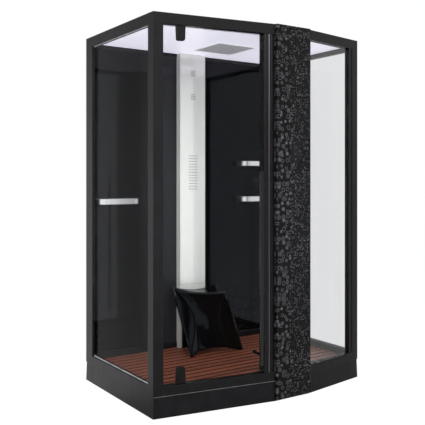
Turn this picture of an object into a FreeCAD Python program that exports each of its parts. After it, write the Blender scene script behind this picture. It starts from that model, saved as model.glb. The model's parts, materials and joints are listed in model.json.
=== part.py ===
import FreeCAD, Part
import Sketcher
import math
import os

# Bow-fronted steam shower cabin: a low tray, an aluminium frame glazed on the left,
# on the right and beside a technical column, a pivot door, a mirror-black back wall
# with a polished shower column, a lit ceiling with a rain head, a slatted deck and a seat.
#
# Plan coordinates start at the front-left corner of the frame: x runs right along the
# back wall, y runs to the back wall, z up from the floor.  The front is bowed: the door
# side turns outward by bow_angle, the column stands parallel to the back wall and the
# fixed side pane turns back by the same angle.

SIZES = (
    # the cabin as a whole
    ("cabin_width", 1500.0, "overall width"),
    ("side_depth", 892.0, "depth of the left side"),
    ("cabin_height", 2200.0, "floor to the top of the frame"),
    ("bow_angle", 9.5, "turn of each half of the front, degrees"),
    # frame profiles
    ("post_face", 58.0, "front post, width along the front"),
    ("post_return", 59.0, "front post, width along the side"),
    ("rail_deep", 42.0, "rails and rear posts, depth"),
    ("top_rail_tall", 60.0, "top rails"),
    ("low_rail_tall", 53.0, "bottom rails"),
    ("profile_wall", 3.0, "wall of the hollow profiles"),
    ("wing_deep", 53.0, "outer wing of the rear posts over the side panes"),
    # glazing
    ("pane_thick", 6.0, "fixed panes and back panels"),
    ("pane_inset", 17.0, "frame face to the outer face of the panes"),
    ("pane_play", 0.3, "pane to each cheek of its groove"),
    ("groove_deep", 12.0, "glazing groove"),
    ("pane_slack", 1.0, "pane edge to the floor of the side and top grooves"),
    ("panel_inset", 31.0, "rear of the frame to the rear face of the back panels"),
    ("jamb_face", 30.0, "jamb between the side pane and the right post"),
    # tray
    ("tray_height", 117.0, "floor to the rim of the tray"),
    ("tray_wall", 8.0, "moulded wall"),
    ("tray_flare", 1.7, "flare of the apron, degrees"),
    ("basin_deep", 42.0, "rim to the basin floor"),
    ("rim_wide", 46.0, "frame face to the basin"),
    ("foot_radius", 30.0, "adjustable foot"),
    ("foot_pad_tall", 12.0, "pad of the adjustable foot"),
    ("foot_stem_radius", 9.0, "stem of the adjustable foot"),
    ("drain_x", 870.0, "waste, from the left"),
    ("drain_y", 420.0, "waste, from the front-left corner"),
    ("drain_radius", 45.0, "hole for the waste"),
    ("waste_pipe_radius", 22.0, "waste pipe"),
    ("spigot_radius", 20.0, "waste spigot"),
    ("spigot_length", 50.0, "waste spigot"),
    ("waste_height", 38.0, "centre of the waste pipe above the floor"),
    ("inlet_height", 40.0, "centre of the supply pipes above the floor"),
    ("inlet_x", 930.0, "hot supply, from the left"),
    ("inlet_gap", 40.0, "hot to cold supply"),
    ("inlet_radius", 10.45, "threaded tail, G1/2"),
    ("inlet_length", 15.0, "threaded tail"),
    ("supply_radius", 8.0, "supply pipe"),
    # technical column at the front
    ("column_left", 742.0, "left face of the column, from the left of the cabin"),
    ("column_span", 260.0, "width of the column"),
    ("column_proud", 15.8, "cover in front of the end of the door frame"),
    ("column_lift", 8.0, "cover above the floor"),
    ("sheet", 3.0, "folded sheet of the column"),
    ("cover_return", 55.0, "depth of the sides of the cover"),
    ("hat_left", 48.0, "left of the column to its inner housing"),
    ("hat_right", 12.0, "inner housing to the right of the column"),
    ("hat_reach", 40.0, "inner face of the housing, from the front-left corner"),
    ("fold_gap", 0.3, "gap between neighbouring frame parts"),
    # door
    ("door_thick", 8.0, "door glass"),
    ("door_inset", 16.0, "frame face to the outer face of the door glass"),
    ("door_gap", 3.0, "door glass to the post"),
    ("door_free_edge", 672.0, "door glass, along the door line from the corner"),
    ("door_top_gap", 8.0, "door glass to the head rail"),
    ("door_low_gap", 6.0, "door glass to the threshold"),
    ("pivot_along", 166.0, "pivot, along the door line from the corner"),
    ("clamp_wide", 53.0, "pivot clamp"),
    ("clamp_cheek", 8.0, "cheek of the pivot clamp outside the glass"),
    ("clamp_top_tall", 80.0, "upper clamp"),
    ("clamp_low_tall", 87.0, "lower clamp"),
    ("clamp_gap", 3.0, "clamp to the rail"),
    ("pin_radius", 7.95, "pivot pin"),
    ("pin_clearance", 0.05, "pin to its bore"),
    ("pin_length", 15.0, "pivot pin, gap to the rail included"),
    ("seal_thick", 1.2, "lips of the door seal"),
    ("seal_lip", 8.0, "lips of the door seal over the glass"),
    ("seal_nose", 6.0, "nose of the door seal"),
    ("strike_gap", 2.5, "door seal to the strike profile"),
    ("strike_lip", 12.0, "lip of the strike profile behind the door"),
    ("strike_stop", 4.0, "door glass to the lip of the strike profile"),
    ("strike_inset", 8.0, "frame face to the strike profile"),
    ("rib_radius", 7.0, "ribs of the strike profile"),
    # door handle
    ("handle_along", 638.0, "handle, along the door line from the corner"),
    ("handle_radius", 11.0, "bar of the handle"),
    ("handle_proud", 60.0, "door glass to the centre of the bar"),
    ("handle_low", 231.0, "lower end of the bar above the floor"),
    ("handle_length", 1110.0, "bar"),
    ("handle_high_fixing", 51.0, "upper end of the bar to the upper fixing"),
    ("handle_low_fixing", 59.0, "lower end of the bar to the lower fixing"),
    ("standoff_radius", 7.5, "standoffs of the handle"),
    ("knob_radius", 11.0, "inner knobs of the handle"),
    ("knob_length", 24.0, "inner knobs of the handle"),
    ("stud_radius", 4.9, "studs through the glass"),
    ("glass_hole_radius", 5.5, "holes for the studs"),
    # ceiling
    ("ceiling_drop", 35.0, "top of the frame to the ceiling"),
    ("ceiling_thick", 6.0, "lit ceiling panel"),
    ("rain_x", 826.0, "rain head, from the left"),
    ("rain_y", 512.0, "rain head, from the front-left corner"),
    ("rain_side", 300.0, "rain head"),
    ("rain_thick", 4.0, "rain head"),
    ("rain_box_side", 276.0, "water box over the rain head"),
    ("roof_box_tall", 19.0, "water box above the ceiling panel"),
    ("roof_thick", 3.0, "roof cover"),
    ("led_side", 20.0, "light bars, width"),
    ("led_tall", 10.0, "light bars, height"),
    ("led_length", 1100.0, "light bars, length"),
    # shower column on the back wall
    ("spine_x", 759.5, "centre of the shower column, from the left"),
    ("spine_wide", 205.0, "shower column"),
    ("spine_proud", 49.0, "edges of the shower column in front of the back panel"),
    ("spine_crown", 5.0, "ridge of the shower column in front of its edges"),
    ("spine_sheet", 2.0, "polished sheet"),
    ("spine_seam", 565.0, "seam of the shower column above the floor"),
    ("spine_seam_gap", 1.2, "seam of the shower column"),
    ("spine_foot_gap", 2.0, "tray rim to the foot of the shower column"),
    ("jet_block_wide", 56.0, "nozzle blocks, width"),
    ("jet_block_deep", 40.0, "nozzle blocks, depth"),
    # shelves
    ("shelf_wide", 284.0, "shelf"),
    ("shelf_deep", 100.0, "shelf"),
    ("shelf_tall", 33.0, "front band of the shelf"),
    ("shelf_radius", 55.0, "rounded corners of the shelf"),
    ("shelf_wall", 4.0, "band and floor of the shelf"),
    ("shelf_side", 44.0, "frame face to the end of the shelf"),
    ("shelf_low", 1133.0, "underside of the lower shelves"),
    ("shelf_high", 1393.0, "underside of the upper shelf"),
    # inside and on the technical column
    ("display_low", 1395.0, "touch display above the floor"),
    ("display_tall", 105.0, "touch display"),
    ("generator_low", 700.0, "steam generator above the floor"),
    ("generator_tall", 380.0, "steam generator"),
    ("power_low", 1300.0, "power unit above the floor"),
    ("power_tall", 260.0, "power unit"),
    ("valves_tall", 300.0, "valve block"),
    # deck
    ("deck_top", 131.0, "floor to the top of the deck"),
    ("slat_thick", 20.0, "slat"),
    ("slat_pitch", 61.5, "slat to slat"),
    ("slat_gap", 8.0, "gap between slats"),
    ("slat_start", 46.5, "a gap's centre, from the front-left corner"),
    ("deck_play", 3.0, "deck to the wall of the basin"),
    ("spine_notch_play", 4.0, "deck to the shower column"),
    ("bearer_wide", 40.0, "bearer"),
    # seat
    ("seat_x", 780.0, "middle of the seat, from the left"),
    ("seat_y", 615.0, "middle of the seat, from the front-left corner"),
    ("seat_height", 434.0, "deck to the corners of the seat"),
    ("seat_dish", 30.0, "hollow of the seat"),
    ("seat_arch", 30.0, "arch between the feet of the seat"),
    ("seat_ridge", 14.0, "flat of the ridges"),
    ("seat_wall", 14.0, "wall of the seat"),
    # controls
    ("control_x", 820.0, "control and steam outlet, from the left"),
    ("control_height", 571.0, "control knob above the floor"),
    ("steam_height", 400.0, "steam outlet above the floor"),
    ("plate_wide", 60.0, "control plate"),
    ("plate_tall", 310.0, "control plate"),
    ("plate_low", 330.0, "control plate above the floor"),
    ("plate_thick", 6.0, "control plate"),
    ("dial_radius", 22.0, "control knob"),
    ("dial_length", 40.0, "control knob"),
    ("spindle_radius", 7.0, "spindle of the control"),
    ("spindle_length", 30.0, "spindle of the control"),
)

doc = FreeCAD.newDocument("SteamShower")
dims = doc.addObject("Spreadsheet::Sheet", "Dims")
for row, (alias, amount, note) in enumerate(SIZES, start=1):
    dims.set("A%d" % row, alias)
    dims.set("B%d" % row, repr(amount))
    dims.set("C%d" % row, note)
    dims.setAlias("B%d" % row, alias)
doc.recompute()


class Size:
    """A length that keeps its present number and the sheet expression behind it."""

    def __init__(self, number, text):
        self.number = float(number)
        self.text = text

    def __add__(self, other):
        other = as_size(other)
        return Size(self.number + other.number, "(%s + %s)" % (self.text, other.text))

    def __sub__(self, other):
        other = as_size(other)
        return Size(self.number - other.number, "(%s - %s)" % (self.text, other.text))

    def __mul__(self, other):
        other = as_size(other)
        return Size(self.number * other.number, "%s * %s" % (self.text, other.text))

    def __truediv__(self, other):
        other = as_size(other)
        return Size(self.number / other.number, "%s / (%s)" % (self.text, other.text))

    def __neg__(self):
        return Size(-self.number, "(0 - %s)" % self.text)

    def __radd__(self, other):
        return as_size(other) + self

    def __rsub__(self, other):
        return as_size(other) - self

    def __rmul__(self, other):
        return as_size(other) * self


def as_size(value):
    if isinstance(value, Size):
        return value
    return Size(value, repr(float(value)))


def size(alias):
    return Size(dims.get(alias), "Dims." + alias)


def sine(angle):
    return Size(math.sin(math.radians(angle.number)), "sin(%s)" % angle.text)


def cosine(angle):
    return Size(math.cos(math.radians(angle.number)), "cos(%s)" % angle.text)


def tangent(angle):
    return Size(math.tan(math.radians(angle.number)), "tan(%s)" % angle.text)


# ---------------------------------------------------------------- named sizes
W = size("cabin_width")
D = size("side_depth")
H = size("cabin_height")
bow = size("bow_angle")
SN = sine(bow)
CN = cosine(bow)
TN = tangent(bow)
rail = size("rail_deep")
face = size("post_face")
ret = size("post_return")
gap = size("fold_gap")
tray_top = size("tray_height")
low_top = tray_top + size("low_rail_tall")
head_low = H - size("top_rail_tall")
pane = size("pane_thick")
play = size("pane_play")
groove = size("groove_deep")
inset = size("pane_inset")
cheek_near = inset - play
cheek_far = inset + pane + play
col_l = size("column_left")
col_r = col_l + size("column_span")
drop = col_l * TN
side_run = (W - col_r) / CN
right_front = (W - col_r) * TN - drop
back_rear = D - size("panel_inset")
back_face = back_rear - pane
hat_l = col_l + size("hat_left")
hat_r = col_r - size("hat_right")
hat_y = size("hat_reach")
sheet = size("sheet")
cover_y = -drop - size("column_proud")
cover_back = cover_y + size("cover_return")

# The handle is the foremost piece and the rear of the frame the rearmost: the origin is
# midway between them, on the floor.
handle_u = size("handle_along")
handle_v = size("door_inset") - size("handle_proud")
front_reach = size("handle_radius") + handle_u * SN - handle_v * CN
X0 = -W / 2
Y0 = (front_reach - D) / 2


def door_line(u, v):
    """Plan point at u along the door line and v behind its outer face."""
    return (u * CN + v * SN, v * CN - u * SN)


def pane_line(u, v):
    """Plan point at u along the side-pane line and v behind its outer face."""
    return (col_r + u * CN - v * SN, u * SN + v * CN - drop)


def door_front(x, v):
    """y on the line v behind the door line, at plan x."""
    return v / CN - x * TN


def pane_front(x, v):
    """y on the line v behind the side-pane line, at plan x."""
    return v / CN + (x - col_r) * TN - drop


# ---------------------------------------------------------------- frames of placement
PLAN = (X0, Y0, as_size(0))
DOOR = (X0, Y0, -bow)
PANE = (X0 + col_r, Y0 - drop, bow)


def bind(thing, path, amount):
    thing.setExpression(path, amount.text)


def place(thing, frame, height=0):
    """Put an object into a plan frame at a height, bound to the sheet."""
    x, y, turn = frame
    z = as_size(height)
    spin = FreeCAD.Rotation(FreeCAD.Vector(0, 0, 1), turn.number)
    thing.Placement = FreeCAD.Placement(FreeCAD.Vector(x.number, y.number, z.number), spin)
    bind(thing, "Placement.Base.x", x)
    bind(thing, "Placement.Base.y", y)
    bind(thing, "Placement.Base.z", z)
    if abs(turn.number) > 0:
        bind(thing, "Placement.Rotation.Angle", turn)


def shifted(frame, u, v):
    """The same frame with its origin moved by u and v along its own axes."""
    x, y, turn = frame
    if turn.number > 0:
        return (x + u * CN - v * SN, y + u * SN + v * CN, turn)
    if turn.number < 0:
        return (x + u * CN + v * SN, y + v * CN - u * SN, turn)
    return (x + u, y + v, turn)


# ---------------------------------------------------------------- sketch and solid helpers
NODES = []


def node(thing, label):
    thing.Label = label
    NODES.append(thing)
    return thing


def new_body(name):
    return doc.addObject("PartDesign::Body", name)


def origin_plane(body, role):
    for feature in body.Origin.OriginFeatures:
        if feature.Role == role:
            return feature
    raise ValueError(role)


def new_sketch(body, role="XY_Plane", offset=0):
    """A sketch on one of the body's own planes, lifted off it by offset."""
    sketch = body.newObject("Sketcher::SketchObject", body.Name + "Sketch")
    sketch.AttachmentSupport = (origin_plane(body, role), [""])
    sketch.MapMode = "FlatFace"
    lift = as_size(offset)
    if role == "XZ_Plane":
        lift = -lift
    bind(sketch, "AttachmentOffset.Base.z", lift)
    return sketch


def hold(sketch, kind, geometry, point, amount):
    """Fix one coordinate of a point to a size from the sheet."""
    amount = as_size(amount)
    index = sketch.addConstraint(Sketcher.Constraint(kind, geometry, point, amount.number))
    sketch.setExpression("Constraints[%d]" % index, amount.text)


def outline(sketch, corners):
    """A closed outline of straight lines whose corners follow the sheet."""
    start = sketch.GeometryCount
    count = len(corners)
    points = []
    for x, y in corners:
        points.append(FreeCAD.Vector(as_size(x).number, as_size(y).number, 0))
    for i in range(count):
        sketch.addGeometry(Part.LineSegment(points[i], points[(i + 1) % count]), False)
    for i in range(count):
        nxt = start + (i + 1) % count
        sketch.addConstraint(Sketcher.Constraint("Coincident", start + i, 2, nxt, 1))
    for i, (x, y) in enumerate(corners):
        hold(sketch, "DistanceX", start + i, 1, x)
        hold(sketch, "DistanceY", start + i, 1, y)
    return sketch


def ring(sketch, x, y, radius):
    """A circle whose centre and radius follow the sheet."""
    x, y, radius = as_size(x), as_size(y), as_size(radius)
    centre = FreeCAD.Vector(x.number, y.number, 0)
    circle = Part.Circle(centre, FreeCAD.Vector(0, 0, 1), radius.number)
    index = sketch.addGeometry(circle, False)
    hold(sketch, "DistanceX", index, 3, x)
    hold(sketch, "DistanceY", index, 3, y)
    turn = sketch.addConstraint(Sketcher.Constraint("Radius", index, radius.number))
    sketch.setExpression("Constraints[%d]" % turn, radius.text)
    return sketch


def pad(body, sketch, length, reverse=False):
    feature = body.newObject("PartDesign::Pad", body.Name + "Pad")
    feature.Profile = sketch
    feature.Length = as_size(length).number
    bind(feature, "Length", as_size(length))
    feature.Reversed = reverse
    return feature


def pocket(body, sketch, length, reverse=False):
    feature = body.newObject("PartDesign::Pocket", body.Name + "Pocket")
    feature.Profile = sketch
    feature.Length = as_size(length).number
    bind(feature, "Length", as_size(length))
    feature.Reversed = reverse
    return feature


def box(x0, y0, x1, y1):
    return [(x0, y0), (x1, y0), (x1, y1), (x0, y1)]


def prism(name, frame, corners, low, high):
    """A body of one pad: an outline in plan raised from low to high."""
    body = new_body(name)
    pad(body, outline(new_sketch(body), corners), as_size(high) - low)
    place(body, frame, low)
    return body


# ================================================================ tray
def plan_outline(side, front, back):
    """The plan of the cabin, drawn in from its sides, front and back."""
    half = (1 - CN) / SN
    ridge = as_size(front)
    return [
        (as_size(side), door_front(as_size(side), ridge)),
        (col_l + ridge * half, ridge - drop),
        (col_r - ridge * half, ridge - drop),
        (W - side, pane_front(W - side, ridge)),
        (W - side, D - back),
        (as_size(side), D - back),
    ]


def room_outline(side, front, back, play_to_hat):
    """The inner plan of the cabin: cut off at the front posts, notched for the column."""
    left = hat_l - play_to_hat
    right = hat_r + play_to_hat
    deep = hat_y + play_to_hat
    off_post = as_size(side) - rail
    return [
        (as_size(side), ret + off_post),
        door_line(face + off_post, as_size(front)),
        (col_l, door_front(col_l, as_size(front))),
        (left, door_front(col_l, as_size(front))),
        (left, deep),
        (right, deep),
        (right, pane_front(col_r, as_size(front))),
        (col_r, pane_front(col_r, as_size(front))),
        pane_line(side_run - face - off_post, as_size(front)),
        (W - side, right_front + ret + off_post),
        (W - side, D - back),
        (as_size(side), D - back),
    ]


rim = size("rim_wide")
wall = size("tray_wall")
notch_play = size("hat_right") - 3
basin_floor = tray_top - size("basin_deep")
basin_under = basin_floor - wall
apron = wall + tray_top * tangent(size("tray_flare"))

tray = new_body("Tray")
tray_pad = pad(tray, outline(new_sketch(tray), plan_outline(0, 0, 0)), tray_top)
tray_pad.TaperAngle = -dims.get("tray_flare")
tray_pad.setExpression("TaperAngle", "0 - Dims.tray_flare")
pocket(tray, outline(new_sketch(tray), plan_outline(apron, apron, apron)), basin_under, True)
under_rim = outline(new_sketch(tray), plan_outline(apron, apron, apron))
outline(under_rim, room_outline(rim - wall, rim - wall, rim - wall, notch_play - wall))
pocket(tray, under_rim, tray_top - wall, True)
basin = outline(new_sketch(tray, offset=tray_top), room_outline(rim, rim, rim, notch_play))
pocket(tray, basin, size("basin_deep"))
drain = ring(new_sketch(tray, offset=basin_floor), size("drain_x"), size("drain_y"),
             size("drain_radius"))
pocket(tray, drain, wall * 2)
inlet_x = size("inlet_x")
inlet_gap = size("inlet_gap")
riser_holes = new_sketch(tray, offset=tray_top)
for riser in (inlet_x, inlet_x + inlet_gap):
    ring(riser_holes, riser, 0, size("supply_radius") + 2)
pocket(tray, riser_holes, wall * 2)
service = new_sketch(tray, "XZ_Plane", D - wall * 3)
service_left = size("drain_x") - size("waste_pipe_radius") - 13
service_right = inlet_x + inlet_gap + 25
outline(service, box(service_left, -1, service_right, basin_under))
pocket(tray, service, wall * 4)
place(tray, PLAN)
node(tray, "tray")

# Feet: a rubber-shod pad, a hexagonal stem and a flange under the basin.
foot_radius = size("foot_radius")


def regular(radius, sides):
    """Corners of a regular polygon about the origin."""
    corners = []
    for i in range(sides):
        angle = 2.0 * math.pi * (i + 0.5) / sides
        corners.append((radius * math.cos(angle), radius * math.sin(angle)))
    return corners


FOOT_PLACES = (
    (rim + 75, as_size(80)),
    (rim + 75, D - 132),
    (W / 2 - 110, as_size(80)),
    (W / 2 - 110, D - 132),
    (W - rim - 75, as_size(80)),
    (W - rim - 75, D - 132),
)
feet = []
for number, (foot_x, foot_y) in enumerate(FOOT_PLACES):
    foot = new_body("Foot%d" % number)
    pad(foot, outline(new_sketch(foot), regular(foot_radius, 12)), size("foot_pad_tall"))
    stem = outline(new_sketch(foot), regular(size("foot_stem_radius"), 6))
    pad(foot, stem, basin_under)
    flange = new_sketch(foot, offset=basin_under - 5)
    pad(foot, outline(flange, regular(foot_radius * 0.85, 12)), 5)
    place(foot, shifted(PLAN, foot_x, foot_y))
    feet.append(foot)
tray_feet = doc.addObject("Part::Compound", "TrayFeet")
tray_feet.Links = feet
node(tray_feet, "tray_feet")

# ================================================================ waste and supplies
waste_z = size("waste_height")
neck = size("drain_radius") - 0.3
bowl = neck - 5
waste = new_body("Waste")
waste_profile = outline(new_sketch(waste, "XZ_Plane"), [
    (0, 12),
    (neck, 12),
    (neck, basin_under - 6),
    (neck + 11, basin_under - 6),
    (neck + 11, basin_under),
    (neck, basin_under),
    (neck, basin_floor),
    (neck + 11, basin_floor),
    (neck + 11, basin_floor + 2.5),
    (bowl, basin_floor + 2.5),
    (bowl, 16),
    (0, 16),
])
waste_turned = waste.newObject("PartDesign::Revolution", "WasteTurned")
waste_turned.Profile = waste_profile
waste_turned.ReferenceAxis = (waste_profile, ["V_Axis"])
waste_turned.Angle = 360
pipe_end = D - size("drain_y") - 2
spigot_start = pipe_end - size("spigot_length")
pipe_start = bowl + 2
pad(waste, ring(new_sketch(waste, "XZ_Plane", pipe_start), 0, waste_z,
                size("waste_pipe_radius")), spigot_start - pipe_start, True)
pad(waste, ring(new_sketch(waste, "XZ_Plane", spigot_start), 0, waste_z, size("spigot_radius")),
    size("spigot_length"), True)
pocket(waste, ring(new_sketch(waste, "XZ_Plane", pipe_end), 0, waste_z,
                   size("spigot_radius") - 3), pipe_end - bowl + 5, True)
place(waste, shifted(PLAN, size("drain_x"), size("drain_y")))
node(waste, "waste_trap")

grate = new_body("Grate")
pad(grate, ring(new_sketch(grate), 0, 0, neck + 5), 3)
slots = new_sketch(grate, offset=3)
for slot_y in (-24, -12, 0, 12, 24):
    outline(slots, box(-22, slot_y - 2.5, 22, slot_y + 2.5))
pocket(grate, slots, 3)
place(grate, shifted(PLAN, size("drain_x"), size("drain_y")), basin_floor + 2.5)
node(grate, "waste_grate")

supply_top = size("plate_low") - 30
inlet_z = size("inlet_height")
supplies = []
for number, riser in enumerate((inlet_x, inlet_x + inlet_gap)):
    tail = doc.addObject("Part::Cylinder", "Tail%d" % number)
    run = doc.addObject("Part::Cylinder", "Run%d" % number)
    rise = doc.addObject("Part::Cylinder", "Rise%d" % number)
    elbow = doc.addObject("Part::Box", "Elbow%d" % number)
    bind(tail, "Radius", size("inlet_radius"))
    bind(tail, "Height", size("inlet_length"))
    bind(run, "Radius", size("supply_radius"))
    bind(run, "Height", D - 2 - size("inlet_length"))
    bind(rise, "Radius", size("supply_radius"))
    bind(rise, "Height", supply_top - inlet_z)
    elbow_side = size("supply_radius") * 2 + 4
    for side_name in ("Length", "Width", "Height"):
        bind(elbow, side_name, elbow_side)
    for piece, along, up in ((tail, D - 2, inlet_z), (run, D - 2 - size("inlet_length"), inlet_z),
                             (rise, 0, inlet_z)):
        place(piece, shifted(PLAN, riser, as_size(along)), up)
    place(elbow, shifted(PLAN, riser - elbow_side / 2, -elbow_side / 2),
          inlet_z - elbow_side / 2)
    for piece in (tail, run):
        level = FreeCAD.Rotation(FreeCAD.Vector(1, 0, 0), 90)
        piece.Placement = FreeCAD.Placement(piece.Placement.Base, level)
    joined = doc.addObject("Part::MultiFuse", "Supply%d" % number)
    joined.Shapes = [tail, run, rise, elbow]
    supplies.append(joined)
supply_pipes = doc.addObject("Part::Compound", "SupplyPipes")
supply_pipes.Links = supplies
node(supply_pipes, "supply_pipes")

# ================================================================ posts
shell = size("profile_wall")
post_tall = H - tray_top

post = new_body("PostFrontLeft")
pad(post, outline(new_sketch(post), [
    (0, 0),
    door_line(face, as_size(0)),
    door_line(face, rail),
    (rail, ret),
    (cheek_far, ret),
    (cheek_far, ret - groove),
    (cheek_near, ret - groove),
    (cheek_near, ret),
    (0, ret),
]), post_tall)
pocket(post, outline(new_sketch(post), [
    (shell, shell + 1),
    door_line(face - shell, shell),
    door_line(face - shell, rail - shell),
    (rail - shell, ret - groove - shell),
    (shell, ret - groove - shell),
]), post_tall - shell, True)
place(post, PLAN, tray_top)
node(post, "post_front_left")

post = new_body("PostFrontRight")
pad(post, outline(new_sketch(post), [
    pane_line(side_run - face, as_size(0)),
    (W, right_front),
    (W, right_front + ret),
    (W - cheek_near, right_front + ret),
    (W - cheek_near, right_front + ret - groove),
    (W - cheek_far, right_front + ret - groove),
    (W - cheek_far, right_front + ret),
    (W - rail, right_front + ret),
    pane_line(side_run - face, rail),
]), post_tall)
pocket(post, outline(new_sketch(post), [
    pane_line(side_run - face + shell, shell),
    (W - shell, right_front + shell + 1),
    (W - shell, right_front + ret - groove - shell),
    (W - rail + shell, right_front + ret - groove - shell),
    pane_line(side_run - face + shell, rail - shell),
]), post_tall - shell, True)
place(post, PLAN, tray_top)
node(post, "post_front_right")

for label, near, far, groove_near, groove_far, inner, wing in (
    ("post_rear_left", as_size(0), rail, cheek_near, cheek_far, rail - groove, cheek_near - gap),
    ("post_rear_right", W, W - rail, W - cheek_near, W - cheek_far, W - rail + groove,
     W - cheek_near + gap),
):
    post = new_body(label)
    pad(post, outline(new_sketch(post), [
        (near, D - rail),
        (groove_near, D - rail),
        (groove_near, D - rail + groove),
        (groove_far, D - rail + groove),
        (groove_far, D - rail),
        (far, D - rail),
        (far, back_face - play),
        (inner, back_face - play),
        (inner, back_rear + play),
        (far, back_rear + play),
        (far, D),
        (near, D),
    ]), post_tall)
    skin = outline(new_sketch(post, offset=low_top - tray_top),
                   box(near, D - rail - size("wing_deep"), wing, D - rail))
    pad(post, skin, head_low - low_top)
    place(post, PLAN, tray_top)
    node(post, label)


# ================================================================ rails
def rail_section(tall, groove_up, near, far, groove_near, groove_far):
    """Section of a glazed rail: a rectangle with its groove in the top or the bottom."""
    zero = as_size(0)
    if groove_up:
        return [
            (near, zero),
            (far, zero),
            (far, tall),
            (groove_far, tall),
            (groove_far, tall - groove),
            (groove_near, tall - groove),
            (groove_near, tall),
            (near, tall),
        ]
    return [
        (near, zero),
        (groove_near, zero),
        (groove_near, groove),
        (groove_far, groove),
        (groove_far, zero),
        (far, zero),
        (far, tall),
        (near, tall),
    ]


def hollow_section(tall, groove_up, near, far):
    """The closed chamber of a rail, clear of its groove."""
    if groove_up:
        return box(near, shell, far, tall - groove - shell)
    return box(near, groove + shell, far, tall - shell)


for label, groove_up, tall, low in (
    ("rail_top", False, size("top_rail_tall"), head_low),
    ("rail_low", True, size("low_rail_tall"), tray_top),
):
    for side, edges, chamber, start in (
        ("left", (as_size(0), rail, cheek_near, cheek_far), (shell, rail - shell), ret),
        ("right", (W, W - rail, W - cheek_near, W - cheek_far), (W - shell, W - rail + shell),
         right_front + ret),
    ):
        beam = new_body(label + "_" + side)
        section = outline(new_sketch(beam, "XZ_Plane", start),
                          rail_section(tall, groove_up, *edges))
        pad(beam, section, D - rail - start, True)
        core = outline(new_sketch(beam, "XZ_Plane", start),
                       hollow_section(tall, groove_up, *chamber))
        pocket(beam, core, D - rail - start)
        place(beam, PLAN, low)
        node(beam, label + "_" + side)
    beam = new_body(label + "_back")
    section = outline(new_sketch(beam, "YZ_Plane", rail), rail_section(
        tall, groove_up, D - rail, D, back_face - play, back_rear + play))
    pad(beam, section, W - rail * 2)
    place(beam, PLAN, low)
    node(beam, label + "_back")

pivot_u = size("pivot_along")
door_mid = size("door_inset") + size("door_thick") / 2
pin_r = size("pin_radius")
pin_bore = pin_r + size("pin_clearance")
bore_deep = size("pin_length") - size("clamp_gap") + 2


def door_end(v):
    """End of the door line at the side of the column, v behind its outer face."""
    return (col_l - gap - v * SN) / CN


def pane_start(v):
    """Start of the side-pane line at the side of the column, v behind its outer face."""
    return (gap + v * SN) / CN


door_beam = [
    (face, as_size(0)),
    (door_end(as_size(0)), as_size(0)),
    (door_end(rail), rail),
    (face, rail),
]
for label, tall, low, bore_up in (
    ("rail_top_door", size("top_rail_tall"), head_low, False),
    ("rail_low_door", size("low_rail_tall"), tray_top, True),
):
    beam = new_body(label)
    pad(beam, outline(new_sketch(beam), door_beam), tall)
    mouth = tall if bore_up else as_size(0)
    bore = ring(new_sketch(beam, offset=mouth), pivot_u, door_mid, pin_bore)
    pocket(beam, bore, bore_deep, not bore_up)
    place(beam, DOOR, low)
    node(beam, label)

for label, tall, low, groove_up in (
    ("rail_top_side", size("top_rail_tall"), head_low, False),
    ("rail_low_side", size("low_rail_tall"), tray_top, True),
):
    beam = new_body(label)
    pad(beam, outline(new_sketch(beam), [
        (pane_start(as_size(0)), as_size(0)),
        (side_run - face, as_size(0)),
        (side_run - face, rail),
        (pane_start(rail), rail),
    ]), tall)
    mouth = tall if groove_up else as_size(0)
    slot = outline(new_sketch(beam, offset=mouth),
                   box(as_size(-1), cheek_near, side_run - face + 1, cheek_far))
    pocket(beam, slot, groove, not groove_up)
    place(beam, PANE, low)
    node(beam, label)

jamb = new_body("JambSide")
jamb_u = side_run - face - size("jamb_face")
pad(jamb, outline(new_sketch(jamb), [
    (jamb_u, as_size(3)),
    (side_run - face, as_size(3)),
    (side_run - face, rail - 3),
    (jamb_u, rail - 3),
    (jamb_u, cheek_far),
    (jamb_u + groove, cheek_far),
    (jamb_u + groove, cheek_near),
    (jamb_u, cheek_near),
]), head_low - low_top)
place(jamb, PANE, low_top)
node(jamb, "jamb_side")

# ================================================================ strike profile of the door
door_t = size("door_thick")
door_v = size("door_inset")
free_edge = size("door_free_edge")
strike_u = free_edge + size("seal_nose") + size("strike_gap")
strike_v = size("strike_inset")
lip_v = door_v + door_t + size("strike_stop")
lip_u = strike_u - size("strike_lip")
rib = size("rib_radius")
strike = new_body("Strike")
pad(strike, outline(new_sketch(strike), [
    (strike_u, strike_v),
    (door_end(strike_v), strike_v),
    (door_end(rail - 2), rail - 2),
    (lip_u, rail - 2),
    (lip_u, lip_v),
    (strike_u, lip_v),
]), head_low - low_top)
for rib_u in (strike_u + rib + 2, door_end(rib + strike_v) - rib - 12):
    pad(strike, ring(new_sketch(strike), rib_u, strike_v + 1, rib), head_low - low_top)
place(strike, DOOR, low_top)
node(strike, "strike_profile")

# ================================================================ fixed panes
slack = size("pane_slack")
pane_low = low_top - groove
pane_high = head_low + groove - slack
side_panes = (
    ("pane_left", inset, ret - groove + slack),
    ("pane_right", W - inset - pane, right_front + ret - groove + slack),
)
for label, pane_x, pane_start_y in side_panes:
    sheet_glass = doc.addObject("Part::Box", label)
    bind(sheet_glass, "Length", pane)
    bind(sheet_glass, "Width", D - rail + groove - slack - pane_start_y)
    bind(sheet_glass, "Height", pane_high - pane_low)
    place(sheet_glass, shifted(PLAN, pane_x, pane_start_y), pane_low)
    node(sheet_glass, label)

side_pane = doc.addObject("Part::Box", "PaneSide")
side_pane_u = pane_start(cheek_far) + 3
bind(side_pane, "Length", jamb_u + groove - slack - side_pane_u)
bind(side_pane, "Width", pane)
bind(side_pane, "Height", pane_high - pane_low)
place(side_pane, shifted(PANE, side_pane_u, inset), pane_low)
node(side_pane, "pane_side")

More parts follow.
